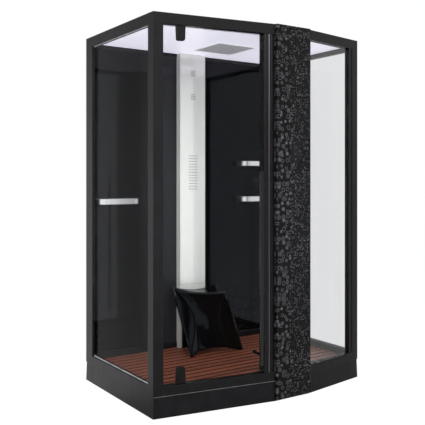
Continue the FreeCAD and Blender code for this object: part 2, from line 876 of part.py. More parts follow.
spine_x = size("spine_x")
for label, panel_x0, panel_x1 in (
    ("back_panel_left", rail - groove + slack, spine_x - slack / 2),
    ("back_panel_right", spine_x + slack / 2, W - rail + groove - slack),
):
    panel = doc.addObject("Part::Box", label)
    bind(panel, "Length", panel_x1 - panel_x0)
    bind(panel, "Width", pane)
    bind(panel, "Height", pane_high - pane_low)
    place(panel, shifted(PLAN, panel_x0, back_face), pane_low)
    node(panel, label)

# ================================================================ ceiling
ceiling = H - size("ceiling_drop")
panel_thick = size("ceiling_thick")
rain_x = size("rain_x")
rain_y = size("rain_y")
rain_box = size("rain_box_side") / 2
roof_low = ceiling + panel_thick + size("roof_box_tall")
room = room_outline(rail + gap, rail + gap, rail + gap, gap)

lid = new_body("CeilingPanel")
pad(lid, outline(new_sketch(lid), room), panel_thick)
well = outline(new_sketch(lid, offset=panel_thick),
               box(rain_x - rain_box - 1, rain_y - rain_box - 1,
                   rain_x + rain_box + 1, rain_y + rain_box + 1))
pocket(lid, well, panel_thick)
place(lid, PLAN, ceiling)
node(lid, "ceiling_panel")
node(prism("RoofCover", PLAN, room, roof_low, roof_low + size("roof_thick")), "roof_cover")

rain_half = size("rain_side") / 2
rain = new_body("RainHead")
rain_slab = pad(rain, outline(new_sketch(rain), box(-rain_half, -rain_half,
                                                     rain_half, rain_half)), size("rain_thick"))
doc.recompute()
bottom_edges = []
for number, edge in enumerate(rain_slab.Shape.Edges, start=1):
    if abs(edge.CenterOfMass.z) < 0.01:
        bottom_edges.append("Edge%d" % number)
softened = rain.newObject("PartDesign::Chamfer", "RainChamfer")
softened.Base = (rain_slab, bottom_edges)
softened.Size = 1.5
place(rain, shifted(PLAN, rain_x, rain_y), ceiling - size("rain_thick"))
node(rain, "rain_head")

node(prism("RainBox", shifted(PLAN, rain_x, rain_y),
           box(-rain_box, -rain_box, rain_box, rain_box), ceiling, roof_low), "rain_water_box")

bars = []
led_x = (W - size("led_length")) / 2
for number, bar_y in enumerate((rain_y - rain_box - 90, rain_y + rain_box + 70)):
    bar = doc.addObject("Part::Box", "LightBar%d" % number)
    bind(bar, "Length", size("led_length"))
    bind(bar, "Width", size("led_side"))
    bind(bar, "Height", size("led_tall"))
    place(bar, shifted(PLAN, led_x, bar_y), ceiling + panel_thick)
    bars.append(bar)
light_bars = doc.addObject("Part::Compound", "LightBars")
light_bars.Links = bars
node(light_bars, "light_bars")

# ================================================================ shower column on the back wall
spine_half = size("spine_wide") / 2
spine_sheet = size("spine_sheet")
spine_edge = back_face - size("spine_proud")
spine_ridge = spine_edge - size("spine_crown")
spine_section = [
    (spine_x - spine_half, back_face),
    (spine_x - spine_half, spine_edge),
    (spine_x, spine_ridge),
    (spine_x + spine_half, spine_edge),
    (spine_x + spine_half, back_face),
    (spine_x + spine_half - spine_sheet, back_face),
    (spine_x + spine_half - spine_sheet, spine_edge + spine_sheet),
    (spine_x, spine_ridge + spine_sheet),
    (spine_x - spine_half + spine_sheet, spine_edge + spine_sheet),
    (spine_x - spine_half + spine_sheet, back_face),
]
spine_foot = tray_top + size("spine_foot_gap")
spine_seam = size("spine_seam")
beam_face = box(0, D - rail - gap, W, D)
spine_lower = prism("SpineLower", PLAN, spine_section, spine_foot, spine_seam)
pocket(spine_lower, outline(new_sketch(spine_lower), beam_face),
       low_top + gap - spine_foot, True)
node(spine_lower, "shower_column_lower")
spine_upper_low = spine_seam + size("spine_seam_gap")
spine_upper = prism("SpineUpper", PLAN, spine_section, spine_upper_low, ceiling - gap)
top_cut = outline(new_sketch(spine_upper, offset=ceiling - gap - spine_upper_low), beam_face)
pocket(spine_upper, top_cut, ceiling - head_low)
node(spine_upper, "shower_column_upper")

blocks = []
jet_half = size("jet_block_wide") / 2
for number, (block_z, block_tall) in enumerate(((2004.0, 54.0), (1830.0, 76.0), (1210.0, 262.0))):
    block = doc.addObject("Part::Box", "JetBlock%d" % number)
    bind(block, "Length", jet_half * 2)
    bind(block, "Width", size("jet_block_deep"))
    bind(block, "Height", as_size(block_tall))
    place(block, shifted(PLAN, spine_x - jet_half, back_face - size("jet_block_deep")), block_z)
    blocks.append(block)
jet_blocks = doc.addObject("Part::Compound", "JetBlocks")
jet_blocks.Links = blocks
node(jet_blocks, "body_jets")

# ================================================================ shelves
shelf_w = size("shelf_wide")
shelf_d = size("shelf_deep")
shelf_t = size("shelf_wall")
corner = size("shelf_radius")


def shelf_outline(sketch, inset_by):
    """Flat back, straight front and two rounded front corners; y runs to the wall."""
    left = as_size(inset_by)
    right = shelf_w - inset_by
    front = as_size(inset_by)
    back = shelf_d
    radius = corner - inset_by
    if radius.number < corner.number:
        back = shelf_d - inset_by
    start = sketch.GeometryCount
    points = [(left, back), (left, front + radius), (left + radius, front),
              (right - radius, front), (right, front + radius), (right, back)]
    flat = [FreeCAD.Vector(px.number, py.number, 0) for px, py in points]
    half_pi = math.pi / 2
    up = FreeCAD.Vector(0, 0, 1)
    centre_l = FreeCAD.Vector((left + radius).number, (front + radius).number, 0)
    centre_r = FreeCAD.Vector((right - radius).number, (front + radius).number, 0)
    arc_l = Part.ArcOfCircle(Part.Circle(centre_l, up, radius.number), math.pi, math.pi + half_pi)
    arc_r = Part.ArcOfCircle(Part.Circle(centre_r, up, radius.number), -half_pi, 0)
    sketch.addGeometry(Part.LineSegment(flat[0], flat[1]), False)
    sketch.addGeometry(arc_l, False)
    sketch.addGeometry(Part.LineSegment(flat[2], flat[3]), False)
    sketch.addGeometry(arc_r, False)
    sketch.addGeometry(Part.LineSegment(flat[4], flat[5]), False)
    sketch.addGeometry(Part.LineSegment(flat[5], flat[0]), False)
    for first, first_end, second, second_end in (
        (0, 2, 1, 1), (1, 2, 2, 1), (2, 2, 3, 1), (3, 2, 4, 1), (4, 2, 5, 1), (5, 2, 0, 1),
    ):
        sketch.addConstraint(Sketcher.Constraint(
            "Coincident", start + first, first_end, start + second, second_end))
    for piece, end, (px, py) in ((0, 1, points[0]), (0, 2, points[1]), (2, 1, points[2]),
                                 (2, 2, points[3]), (4, 1, points[4]), (4, 2, points[5])):
        hold(sketch, "DistanceX", start + piece, end, px)
        hold(sketch, "DistanceY", start + piece, end, py)
    for piece in (1, 3):
        turn = sketch.addConstraint(Sketcher.Constraint("Radius", start + piece, radius.number))
        sketch.setExpression("Constraints[%d]" % turn, radius.text)
    return sketch


for label, shelf_x, shelf_z in (
    ("shelf_left", size("shelf_side"), size("shelf_low")),
    ("shelf_right_lower", W - size("shelf_side") - shelf_w, size("shelf_low")),
    ("shelf_right_upper", W - size("shelf_side") - shelf_w, size("shelf_high")),
):
    shelf = new_body(label)
    pad(shelf, shelf_outline(new_sketch(shelf), 0), size("shelf_tall"))
    pocket(shelf, shelf_outline(new_sketch(shelf, offset=size("shelf_tall")), shelf_t),
           size("shelf_tall") - shelf_t)
    place(shelf, shifted(PLAN, shelf_x, back_face - shelf_d), shelf_z)
    node(shelf, label)

# ================================================================ technical column
cover = new_body("ColumnCover")
cover_tall = H - size("column_lift")
pad(cover, outline(new_sketch(cover), [
    (col_l, cover_back),
    (col_l, cover_y),
    (col_r, cover_y),
    (col_r, cover_back),
    (col_r - sheet, cover_back),
    (col_r - sheet, cover_y + sheet),
    (col_l + sheet, cover_y + sheet),
    (col_l + sheet, cover_back),
]), cover_tall)
cut_y = cover_y + size("column_proud") - gap
heel = outline(new_sketch(cover), box(col_l - 1, cut_y, col_r + 1, cover_back + 1))
pocket(cover, heel, tray_top + gap - size("column_lift"), True)
place(cover, PLAN, size("column_lift"))
node(cover, "column_cover")

flange_l = col_l + sheet + gap
flange_r = col_r - sheet - gap
node(prism("ColumnHousing", PLAN, [
    (flange_l, cover_back),
    (hat_l + sheet, cover_back),
    (hat_l + sheet, hat_y - sheet),
    (hat_r - sheet, hat_y - sheet),
    (hat_r - sheet, cover_back),
    (flange_r, cover_back),
    (flange_r, cover_back + sheet),
    (hat_r, cover_back + sheet),
    (hat_r, hat_y),
    (hat_l, hat_y),
    (hat_l, cover_back + sheet),
    (flange_l, cover_back + sheet),
], tray_top, H), "column_housing")

cap_y = cover_y + sheet + gap
node(prism("ColumnCap", PLAN, [
    (flange_l, cap_y),
    (flange_r, cap_y),
    (flange_r, cover_back - gap),
    (hat_r - sheet - gap, cover_back - gap),
    (hat_r - sheet - gap, hat_y - sheet - gap),
    (hat_l + sheet + gap, hat_y - sheet - gap),
    (hat_l + sheet + gap, cover_back - gap),
    (flange_l, cover_back - gap),
], H - sheet, H), "column_cap")

touch_x = col_l + size("column_span") / 2
node(prism("TouchPanel", PLAN, box(touch_x - 20, cover_y - 1.5, touch_x + 40, cover_y),
           size("display_low"), size("display_low") + size("display_tall")), "touch_panel")

inner_y = hat_y - sheet
generator = new_body("SteamGenerator")
tank = pad(generator, outline(new_sketch(generator), box(hat_l + 12, inner_y - 95,
                                                          hat_r - 12, inner_y)),
           size("generator_tall"))
doc.recompute()
upright = []
for number, edge in enumerate(tank.Shape.Edges, start=1):
    box_of_edge = edge.BoundBox
    if box_of_edge.ZLength > 100 and box_of_edge.YMax < (inner_y - 50).number:
        upright.append("Edge%d" % number)
rounded = generator.newObject("PartDesign::Fillet", "GeneratorFillet")
rounded.Base = (tank, upright)
rounded.Radius = 25
place(generator, PLAN, size("generator_low"))
node(generator, "steam_generator")
node(prism("PowerUnit", PLAN, box(hat_l + 15, inner_y - 70, hat_r - 15, inner_y),
           size("power_low"), size("power_low") + size("power_tall")), "power_unit")
node(prism("ValveBlock", PLAN, box(hat_l + 60, inner_y - 60, hat_r - 6, inner_y),
           supply_top, supply_top + size("valves_tall")), "valve_block")

# ================================================================ controls inside the cabin
ctrl_x = size("control_x")
plate_v = size("plate_thick")
plate_half = size("plate_wide") / 2
spindle_r = size("spindle_radius")
plate = new_body("ControlPlate")
pad(plate, outline(new_sketch(plate, "XZ_Plane"), box(
    -plate_half + 5, size("plate_low"), plate_half + 5, size("plate_low") + size("plate_tall"))),
    plate_v, True)
pad(plate, ring(new_sketch(plate, "XZ_Plane", plate_v), 0, size("control_height"), spindle_r),
    size("spindle_length"), True)
place(plate, shifted(PLAN, ctrl_x, hat_y))
node(plate, "control_plate")

dial = new_body("ControlKnob")
dial_r = size("dial_radius")
pad(dial, ring(new_sketch(dial, "XZ_Plane"), 0, 0, dial_r), size("dial_length"), True)
pocket(dial, ring(new_sketch(dial, "XZ_Plane"), 0, 0, spindle_r + size("pin_clearance")),
       size("spindle_length") + 2)
grip = outline(new_sketch(dial, "XZ_Plane", size("dial_length")),
               box(dial_r - 3, -3, dial_r + 2, 3))
grip_cut = pocket(dial, grip, size("dial_length") - 8, True)
grips = dial.newObject("PartDesign::PolarPattern", "KnobGrips")
grips.Originals = [grip_cut]
grips.Axis = (origin_plane(dial, "Y_Axis"), [""])
grips.Angle = 360
grips.Occurrences = 6
dial.Tip = grips
place(dial, shifted(PLAN, ctrl_x, hat_y + plate_v + gap), size("control_height"))
node(dial, "control_knob")

outlet = new_body("SteamOutlet")
outlet_profile = outline(new_sketch(outlet, "YZ_Plane"), [
    (0, 0),
    (0, 24),
    (6, 24),
    (6, 16),
    (44, 16),
    (44, 9),
    (12, 9),
    (12, 0),
])
outlet_turned = outlet.newObject("PartDesign::Revolution", "OutletTurned")
outlet_turned.Profile = outlet_profile
outlet_turned.ReferenceAxis = (outlet_profile, ["H_Axis"])
outlet_turned.Angle = 360
place(outlet, shifted(PLAN, ctrl_x, hat_y + plate_v), size("steam_height"))
node(outlet, "steam_outlet")

# ================================================================ pivot door
door_low = low_top + size("door_low_gap")
door_high = head_low - size("door_top_gap")
bar_low = size("handle_low")
fixing_low = bar_low + size("handle_low_fixing")
fixings = (fixing_low, bar_low + size("handle_length") - size("handle_high_fixing"))

door = new_body("DoorGlass")
pad(door, outline(new_sketch(door, "XZ_Plane", door_v),
                  box(face + size("door_gap"), door_low, free_edge, door_high)), door_t, True)
stud_holes = new_sketch(door, "XZ_Plane", door_v - 1)
for fixing in fixings:
    ring(stud_holes, handle_u, fixing, size("glass_hole_radius"))
pocket(door, stud_holes, door_t + 2)
place(door, DOOR)
node(door, "door_glass")

clamp_half = size("clamp_wide") / 2
clamp_v = door_v - size("clamp_cheek")
clamp_thick = door_t + size("clamp_cheek") * 2
for label, up, tall, seat in (
    ("door_clamp_top", 1, size("clamp_top_tall"), head_low - size("clamp_gap")),
    ("door_clamp_low", -1, size("clamp_low_tall"), low_top + size("clamp_gap")),
):
    clamp = new_body(label)
    tip = seat - tall * up
    glass_edge = door_high if up > 0 else door_low
    pad(clamp, outline(new_sketch(clamp, "XZ_Plane", clamp_v), [
        (pivot_u - clamp_half, seat),
        (pivot_u + clamp_half, seat),
        (pivot_u + clamp_half - 3, tip + 8 * up),
        (pivot_u + clamp_half - 9, tip),
        (pivot_u - clamp_half + 9, tip),
        (pivot_u - clamp_half + 3, tip + 8 * up),
    ]), clamp_thick, True)
    jaw = outline(new_sketch(clamp, "XZ_Plane", door_v),
                  box(pivot_u - clamp_half - 5, tip - 5 * up, pivot_u + clamp_half + 5, glass_edge))
    pocket(clamp, jaw, door_t)
    pin = ring(new_sketch(clamp, "XY_Plane", seat), pivot_u, door_mid, pin_r)
    pad(clamp, pin, size("pin_length"), up < 0)
    place(clamp, DOOR)
    node(clamp, label)

seal_t = size("seal_thick")
seal_lip = free_edge - size("seal_lip")
seal_nose = free_edge + size("seal_nose")
node(prism("DoorSeal", DOOR, [
    (seal_lip, door_v - seal_t),
    (seal_nose, door_v - seal_t),
    (seal_nose, door_v + door_t + seal_t),
    (seal_lip, door_v + door_t + seal_t),
    (seal_lip, door_v + door_t),
    (free_edge, door_v + door_t),
    (free_edge, door_v),
    (seal_lip, door_v),
], door_low, door_high), "door_seal")

bar = new_body("HandleBar")
bar_sketch = ring(new_sketch(bar, offset=bar_low), handle_u, handle_v, size("handle_radius"))
pad(bar, bar_sketch, size("handle_length"))
for fixing in fixings:
    arm = ring(new_sketch(bar, "XZ_Plane", handle_v), handle_u, fixing, size("standoff_radius"))
    pad(bar, arm, size("handle_proud"), True)
place(bar, DOOR)
node(bar, "handle_bar")

knobs = []
for number, fixing in enumerate(fixings):
    knob = new_body("HandleKnob%d" % number)
    inner_face = door_v + door_t
    body_ring = ring(new_sketch(knob, "XZ_Plane", inner_face), handle_u, fixing, size("knob_radius"))
    pad(knob, body_ring, size("knob_length"), True)
    stud = ring(new_sketch(knob, "XZ_Plane", door_v), handle_u, fixing, size("stud_radius"))
    pad(knob, stud, door_t, True)
    place(knob, DOOR)
    knobs.append(knob)
handle_knobs = doc.addObject("Part::Compound", "HandleKnobs")
handle_knobs.Links = knobs
node(handle_knobs, "handle_knobs")

# ================================================================ slatted deck
deck_top = size("deck_top")
slat_low = deck_top - size("slat_thick")
deck_in = rim + size("deck_play")
spine_notch = size("spine_notch_play")
blank = new_body("DeckBlank")
pad(blank, outline(new_sketch(blank), room_outline(deck_in, deck_in, deck_in,
                                                    notch_play + 2)),
    size("slat_thick"))
notch = outline(new_sketch(blank, offset=size("slat_thick")),
                box(spine_x - spine_half - spine_notch, spine_ridge - spine_notch,
                    spine_x + spine_half + spine_notch, D))
pocket(blank, notch, size("slat_thick"))
place(blank, PLAN, slat_low)
pitch = size("slat_pitch")
first_gap = -math.ceil((drop.number + dims.get("slat_start")) / pitch.number)
last_gap = int((D.number - dims.get("slat_start")) / pitch.number)
gaps = []
for number in range(first_gap, last_gap + 1):
    saw = doc.addObject("Part::Box", "SlatGap%d" % (number - first_gap))
    bind(saw, "Length", W)
    bind(saw, "Width", size("slat_gap"))
    bind(saw, "Height", size("slat_thick") + 2)
    saw_y = size("slat_start") + pitch * number - size("slat_gap") / 2
    place(saw, shifted(PLAN, as_size(0), saw_y), slat_low - 1)
    gaps.append(saw)
all_gaps = doc.addObject("Part::Compound", "SlatGaps")
all_gaps.Links = gaps
slats = doc.addObject("Part::Cut", "DeckSlats")
slats.Base = blank
slats.Tool = all_gaps
node(slats, "deck_slats")

bearer_w = size("bearer_wide")
bearer_back = spine_ridge - 10
bearers = []
for number, (middle, slope) in enumerate((
    (deck_in + 70, "door"),
    (hat_l * 0.5, "door"),
    (hat_l - 100, "door"),
    (hat_r + 90, "pane"),
    ((hat_r + W) * 0.5 - 10, "pane"),
    (W - deck_in - 60, "pane"),
)):
    bearer = doc.addObject("Part::Box", "Bearer%d" % number)
    if slope == "door":
        start_y = door_front(middle - bearer_w / 2, deck_in + 2)
    else:
        start_y = pane_front(middle + bearer_w / 2, deck_in + 2)
    bind(bearer, "Length", bearer_w)
    bind(bearer, "Width", bearer_back - start_y)
    bind(bearer, "Height", slat_low - basin_floor)
    place(bearer, shifted(PLAN, middle - bearer_w / 2, start_y), basin_floor)
    bearers.append(bearer)
deck_bearers = doc.addObject("Part::Compound", "DeckBearers")
deck_bearers.Links = bearers
node(deck_bearers, "deck_bearers")

# ================================================================ seat
# Three blunt ridges twist from the feet to the corners of the rim; between them the faces
# draw in like a folded sheet.  It is hollow from below, arched between its feet and
# dished on top.
SEAT_FEET = ((-195.0, -70.0), (205.0, -83.0), (-10.0, 153.0))
SEAT_RIM = ((-222.0, 127.0), (-8.0, -185.0), (148.0, 137.0))
SEAT_DRAW = ((0.0, 0.30), (0.3, 0.42), (0.6, 0.42), (0.85, 0.30), (1.0, 0.14))
SEAT_STEPS = 5
seat_tall = dims.get("seat_height")
seat_skin = dims.get("seat_wall")


def seat_draw(share):
    """How far the faces draw in at a share of the height."""
    share = min(max(share, 0.0), 1.0)
    for (low_share, low_draw), (high_share, high_draw) in zip(SEAT_DRAW, SEAT_DRAW[1:]):
        if share <= high_share:
            part_way = (share - low_share) / (high_share - low_share)
            return low_draw + (high_draw - low_draw) * part_way
    return SEAT_DRAW[-1][1]


def seat_section(share, inset_by, ridge):
    """Points round the seat: three flat ridges joined by arcs drawn towards the middle."""
    corners = []
    for (foot_x, foot_y), (rim_x, rim_y) in zip(SEAT_FEET, SEAT_RIM):
        corner_x = foot_x + (rim_x - foot_x) * share
        corner_y = foot_y + (rim_y - foot_y) * share
        corners.append(FreeCAD.Vector(corner_x, corner_y, 0))
    middle = (corners[0] + corners[1] + corners[2]) * (1.0 / 3.0)
    ridges = []
    for corner_point in corners:
        outward = corner_point - middle
        reach = outward.Length - inset_by
        outward.normalize()
        across = FreeCAD.Vector(-outward.y, outward.x, 0) * (ridge / 2.0)
        tip_point = middle + outward * reach
        ridges.append((tip_point - across, tip_point + across))
    lift = FreeCAD.Vector(0, 0, seat_tall * share)
    points = []
    for i in range(3):
        start_point = ridges[i][1]
        end_point = ridges[(i + 1) % 3][0]
        halfway = (start_point + end_point) * 0.5 - middle
        pulled = (halfway.Length * (1.0 - seat_draw(share)) - inset_by * 0.5) / halfway.Length
        arc = Part.Arc(start_point, middle + halfway * pulled, end_point)
        span = arc.LastParameter - arc.FirstParameter
        points.append(ridges[i][0] + lift)
        for step in range(SEAT_STEPS):
            points.append(arc.value(arc.FirstParameter + span * step / SEAT_STEPS) + lift)
    return points


def seat_bowl(point, places, depth):
    """Height of a shallow bowl over the middle of three corners, full at the seat's reach."""
    middle_x = (places[0][0] + places[1][0] + places[2][0]) / 3.0
    middle_y = (places[0][1] + places[1][1] + places[2][1]) / 3.0
    away = (point.x - middle_x) ** 2 + (point.y - middle_y) ** 2
    return min(depth, depth * away / SEAT_REACH ** 2)


def seat_solid(rings, low_end, high_end):
    """Solid of flat facets: rings of points joined in turn and closed by an end at each."""
    facets = []

    def facet(*corners):
        facets.append(Part.Face(Part.makePolygon(list(corners) + [corners[0]])))

    for lower, upper in zip(rings, rings[1:]):
        for i, corner in enumerate(lower):
            nxt = (i + 1) % len(lower)
            facet(corner, lower[nxt], upper[nxt])
            facet(corner, upper[nxt], upper[i])
    for outer, (inner, apex) in ((rings[0], low_end), (rings[-1], high_end)):
        for i, corner in enumerate(outer):
            nxt = (i + 1) % len(outer)
            facet(corner, outer[nxt], inner[nxt])
            facet(corner, inner[nxt], inner[i])
            facet(inner[i], inner[nxt], apex)
    form = Part.makeSolid(Part.makeShell(facets))
    if form.Volume < 0:
        form.reverse()
    return form


def seat_end(ring_of_points, places, base, depth, rise):
    """Half-way ring and middle point of an end, hollowed or arched like a shallow bowl."""
    middle = FreeCAD.Vector(
        (places[0][0] + places[1][0] + places[2][0]) / 3.0,
        (places[0][1] + places[1][1] + places[2][1]) / 3.0,
        base,
    )
    inner = []
    for point in ring_of_points:
        half = FreeCAD.Vector((point.x + middle.x) / 2.0, (point.y + middle.y) / 2.0, base)
        half.z = base + rise * seat_bowl(half, places, depth)
        inner.append(half)
    return inner, middle


def seat_skin_rings(levels, ridge):
    """Rings of the outside, from the arched edge between the feet to the dished rim."""
    spans = []
    for i, high_point in enumerate(seat_section(1.0, 0.0, ridge)):
        way = max(i % (SEAT_STEPS + 1) - 1, 0) / SEAT_STEPS
        low_z = seat_arch * 4.0 * way * (1.0 - way)
        high_z = seat_tall - seat_dish + seat_bowl(high_point, SEAT_RIM, seat_dish)
        spans.append((low_z / seat_tall, high_z / seat_tall))
    rings = []
    for level in range(levels + 1):
        points = []
        for i, (low_share, high_share) in enumerate(spans):
            share = low_share + (high_share - low_share) * level / levels
            points.append(seat_section(share, 0.0, ridge)[i])
        rings.append(points)
    return rings


def seat_hollow_rings(low, high, levels, inset_by, ridge):
    """Rings of the hollow, level at every height."""
    rings = []
    for level in range(levels + 1):
        rings.append(seat_section(low + (high - low) * level / levels, inset_by, ridge))
    return rings


SEAT_REACH = 205.0
seat_dish = dims.get("seat_dish")
seat_arch = dims.get("seat_arch")
skin_rings = seat_skin_rings(6, dims.get("seat_ridge"))
seat_skin_outside = seat_solid(
    skin_rings,
    seat_end(skin_rings[0], SEAT_FEET, seat_arch, seat_arch, -1),
    seat_end(skin_rings[-1], SEAT_RIM, seat_tall - seat_dish, seat_dish, 1),
)
hollow_low = -0.04
hollow_high = 1.0 - (seat_dish + seat_skin * 2.0) / seat_tall
hollow_rings = seat_hollow_rings(hollow_low, hollow_high, 5, seat_skin,
                                 dims.get("seat_ridge") * 0.4)
seat_hollow = seat_solid(
    hollow_rings,
    seat_end(hollow_rings[0], SEAT_FEET, hollow_low * seat_tall, 0.0, 1),
    seat_end(hollow_rings[-1], SEAT_RIM, hollow_high * seat_tall, 0.0, 1),
)
seat = doc.addObject("Part::Feature", "Seat")
seat.Shape = seat_skin_outside.cut(seat_hollow).removeSplitter()
place(seat, shifted(PLAN, size("seat_x"), size("seat_y")), size("deck_top"))
node(seat, "seat")

# ================================================================ checks and files
doc.recompute()
failed = []
for thing in doc.Objects:
    if "Invalid" in thing.State or "Error" in thing.State:
        failed.append("%s: %s" % (thing.Label, thing.State))
    if thing.TypeId == "PartDesign::Pocket" and not failed:
        if thing.Shape.Volume > thing.BaseFeature.Shape.Volume - 1.0:
            failed.append("%s cuts nothing" % thing.Name)
if failed:
    raise RuntimeError("failed features: " + "; ".join(failed))
if len({thing.Label for thing in NODES}) != len(NODES):
    raise RuntimeError("two nodes share a label")

os.makedirs("parts", exist_ok=True)
whole = FreeCAD.BoundBox()
for thing in NODES:
    shape = thing.Shape
    if shape.isNull() or not shape.isValid() or not shape.Solids:
        raise RuntimeError("bad shape: " + thing.Label)
    whole.add(shape.BoundBox)
    shape.exportStep("parts/%s.step" % thing.Label)
    print("%-22s %2d solids %12.1f mm3" % (thing.Label, len(shape.Solids), shape.Volume))
print("nodes", len(NODES))
print("overall", whole)
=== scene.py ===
"""Looks of a bow-fronted steam shower cabin: black frame, clear glass, bright shower column.

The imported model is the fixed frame. Each sub-assembly is a class that dresses its own nodes
and adds the pieces that only matter to the eye. All lengths are in metres.
"""

from __future__ import annotations

import json
import logging
import math
from dataclasses import dataclass
from enum import Enum
from typing import Any, Callable, Sequence

import bmesh
import bpy
import numpy as np
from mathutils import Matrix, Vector

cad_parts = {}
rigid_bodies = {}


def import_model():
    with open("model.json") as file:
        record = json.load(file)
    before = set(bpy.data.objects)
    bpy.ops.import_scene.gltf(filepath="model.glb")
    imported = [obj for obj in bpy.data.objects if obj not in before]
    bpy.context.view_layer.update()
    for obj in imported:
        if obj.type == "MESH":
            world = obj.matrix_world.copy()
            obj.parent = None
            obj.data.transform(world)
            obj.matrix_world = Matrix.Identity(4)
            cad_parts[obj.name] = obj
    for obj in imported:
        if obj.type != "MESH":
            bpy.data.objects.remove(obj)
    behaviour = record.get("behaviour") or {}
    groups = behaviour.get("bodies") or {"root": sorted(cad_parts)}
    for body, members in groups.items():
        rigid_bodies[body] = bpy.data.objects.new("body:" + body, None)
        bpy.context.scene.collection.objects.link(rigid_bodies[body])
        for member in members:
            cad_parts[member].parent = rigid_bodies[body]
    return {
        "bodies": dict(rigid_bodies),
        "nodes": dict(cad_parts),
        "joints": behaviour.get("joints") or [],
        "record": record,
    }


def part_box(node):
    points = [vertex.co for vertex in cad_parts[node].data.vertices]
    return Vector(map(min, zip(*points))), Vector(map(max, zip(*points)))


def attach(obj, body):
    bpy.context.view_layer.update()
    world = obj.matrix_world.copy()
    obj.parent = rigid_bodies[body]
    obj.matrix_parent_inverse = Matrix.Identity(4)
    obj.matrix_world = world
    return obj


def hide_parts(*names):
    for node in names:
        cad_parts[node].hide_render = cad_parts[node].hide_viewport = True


LOG = logging.getLogger("cabin")
Colour = tuple[float, float, float]
Place = tuple[float, float, float]
Card = tuple[float, float]
Grid = np.ndarray
WHITE: Colour = (1.0, 1.0, 1.0)
SKIN_GAP = 0.0002
MERGE = 1e-6
COPY_MERGE = 1e-5
FLAT_ANGLE = math.radians(1.0)


# ---------------------------------------------------------------- choices


class Body(str, Enum):
    """The bodies that a piece can ride on."""

    CABIN = "cabin"
    DOOR = "door"
    KNOB = "control_knob"
    DECK = "deck"
    SEAT = "seat"


class Plane(Enum):
    """Flat directions that a repeated small shape can face."""

    DOWN = "down"
    FRONT = "front"


# ---------------------------------------------------------------- shader graphs


@dataclass
class Graph:
    """A node tree with short ways to add nodes and join them."""

    tree: bpy.types.NodeTree

    def feed(self, socket: bpy.types.NodeSocket, value: Any) -> None:
        """Joins an output to a socket, or sets the socket's constant.

        Args:
            socket: the input to feed.
            value: an output, or a plain value.
        """
        if isinstance(value, bpy.types.NodeSocket):
            self.tree.links.new(value, socket)
        else:
            socket.default_value = value

    def add(self, kind: str, sockets: dict[Any, Any] | None = None, **settings: Any) -> bpy.types.Node:
        """Adds a node and fills its sockets.

        Args:
            kind: node type, without its "ShaderNode" start.
            sockets: value or output for each input, by name or number.
            settings: attributes of the node itself.

        Returns:
            The new node.
        """
        node = self.tree.nodes.new("ShaderNode" + kind)
        for key, value in settings.items():
            setattr(node, key, value)
        for key, value in (sockets or {}).items():
            self.feed(node.inputs[key], value)
        return node

    def math(self, operation: str, a: Any, b: Any = 0.0, clamp: bool = False) -> bpy.types.NodeSocket:
        """One arithmetic step on two values."""
        return self.add("Math", {0: a, 1: b}, operation=operation, use_clamp=clamp).outputs[0]

    def times(self, a: Any, b: Any) -> bpy.types.NodeSocket:
        """The product of two values."""
        return self.math("MULTIPLY", a, b)

    def plus(self, a: Any, b: Any, clamp: bool = False) -> bpy.types.NodeSocket:
        """The sum of two values, held from 0 to 1 if it is clamped."""
        return self.math("ADD", a, b, clamp)

    def mix(self, share: Any, low: Any, high: Any) -> bpy.types.NodeSocket:
        """A number between two others, by a share from 0 to 1."""
        return self.add("Mix", {0: share, 2: low, 3: high}).outputs[0]

    def blend(self, share: Any, first: Any, second: Any) -> bpy.types.NodeSocket:
        """Mixes two colours by a share.

        Args:
            share: share of the second colour.
            first: an output, or three channels.
            second: an output, or three channels.

        Returns:
            The mixed colour.
        """
        mixed = self.add("Mix", {0: share}, data_type="RGBA")
        for number, colour in ((6, first), (7, second)):
            given = isinstance(colour, bpy.types.NodeSocket)
            self.feed(mixed.inputs[number], colour if given else (*colour, 1.0))
        return mixed.outputs[2]

    def span(
        self, value: Any, low: float, high: float, to_low: float, to_high: float
    ) -> bpy.types.NodeSocket:
        """Carries a value from one range to another, smoothly and held at the ends."""
        ends = {0: value, 1: low, 2: high, 3: to_low, 4: to_high}
        return self.add("MapRange", ends, interpolation_type="SMOOTHSTEP").outputs[0]

    def noise(self, place: Any, scale: Any, detail: float, distortion: float = 0.0) -> bpy.types.NodeSocket:
        """Cloudy noise about one half."""
        sockets = {"Vector": place, "Scale": scale, "Detail": detail, "Distortion": distortion}
        return self.add("TexNoise", sockets).outputs[0]

    def scaled(self, place: Any, scale: Place) -> bpy.types.NodeSocket:
        """A place stretched along each axis."""
        return self.add("Mapping", {"Vector": place, "Scale": scale}).outputs[0]

    def axes(self, place: Any) -> list[bpy.types.NodeSocket]:
        """The three numbers of a place."""
        return list(self.add("SeparateXYZ", {0: place}).outputs)

    def place(self) -> bpy.types.NodeSocket:
        """Object coordinates."""
        return self.add("TexCoord").outputs["Object"]

    def looks(self) -> tuple[bpy.types.NodeSocket, bpy.types.NodeSocket]:
        """Tells rays that are seen from rays that only light.

        Returns:
            Whether a ray comes straight or through glass, and whether it does that or is mirrored.
        """
        path = self.add("LightPath").outputs
        direct = self.math("MAXIMUM", path["Is Camera Ray"], path["Is Transmission Ray"])
        return direct, self.math("MAXIMUM", direct, path["Is Glossy Ray"])


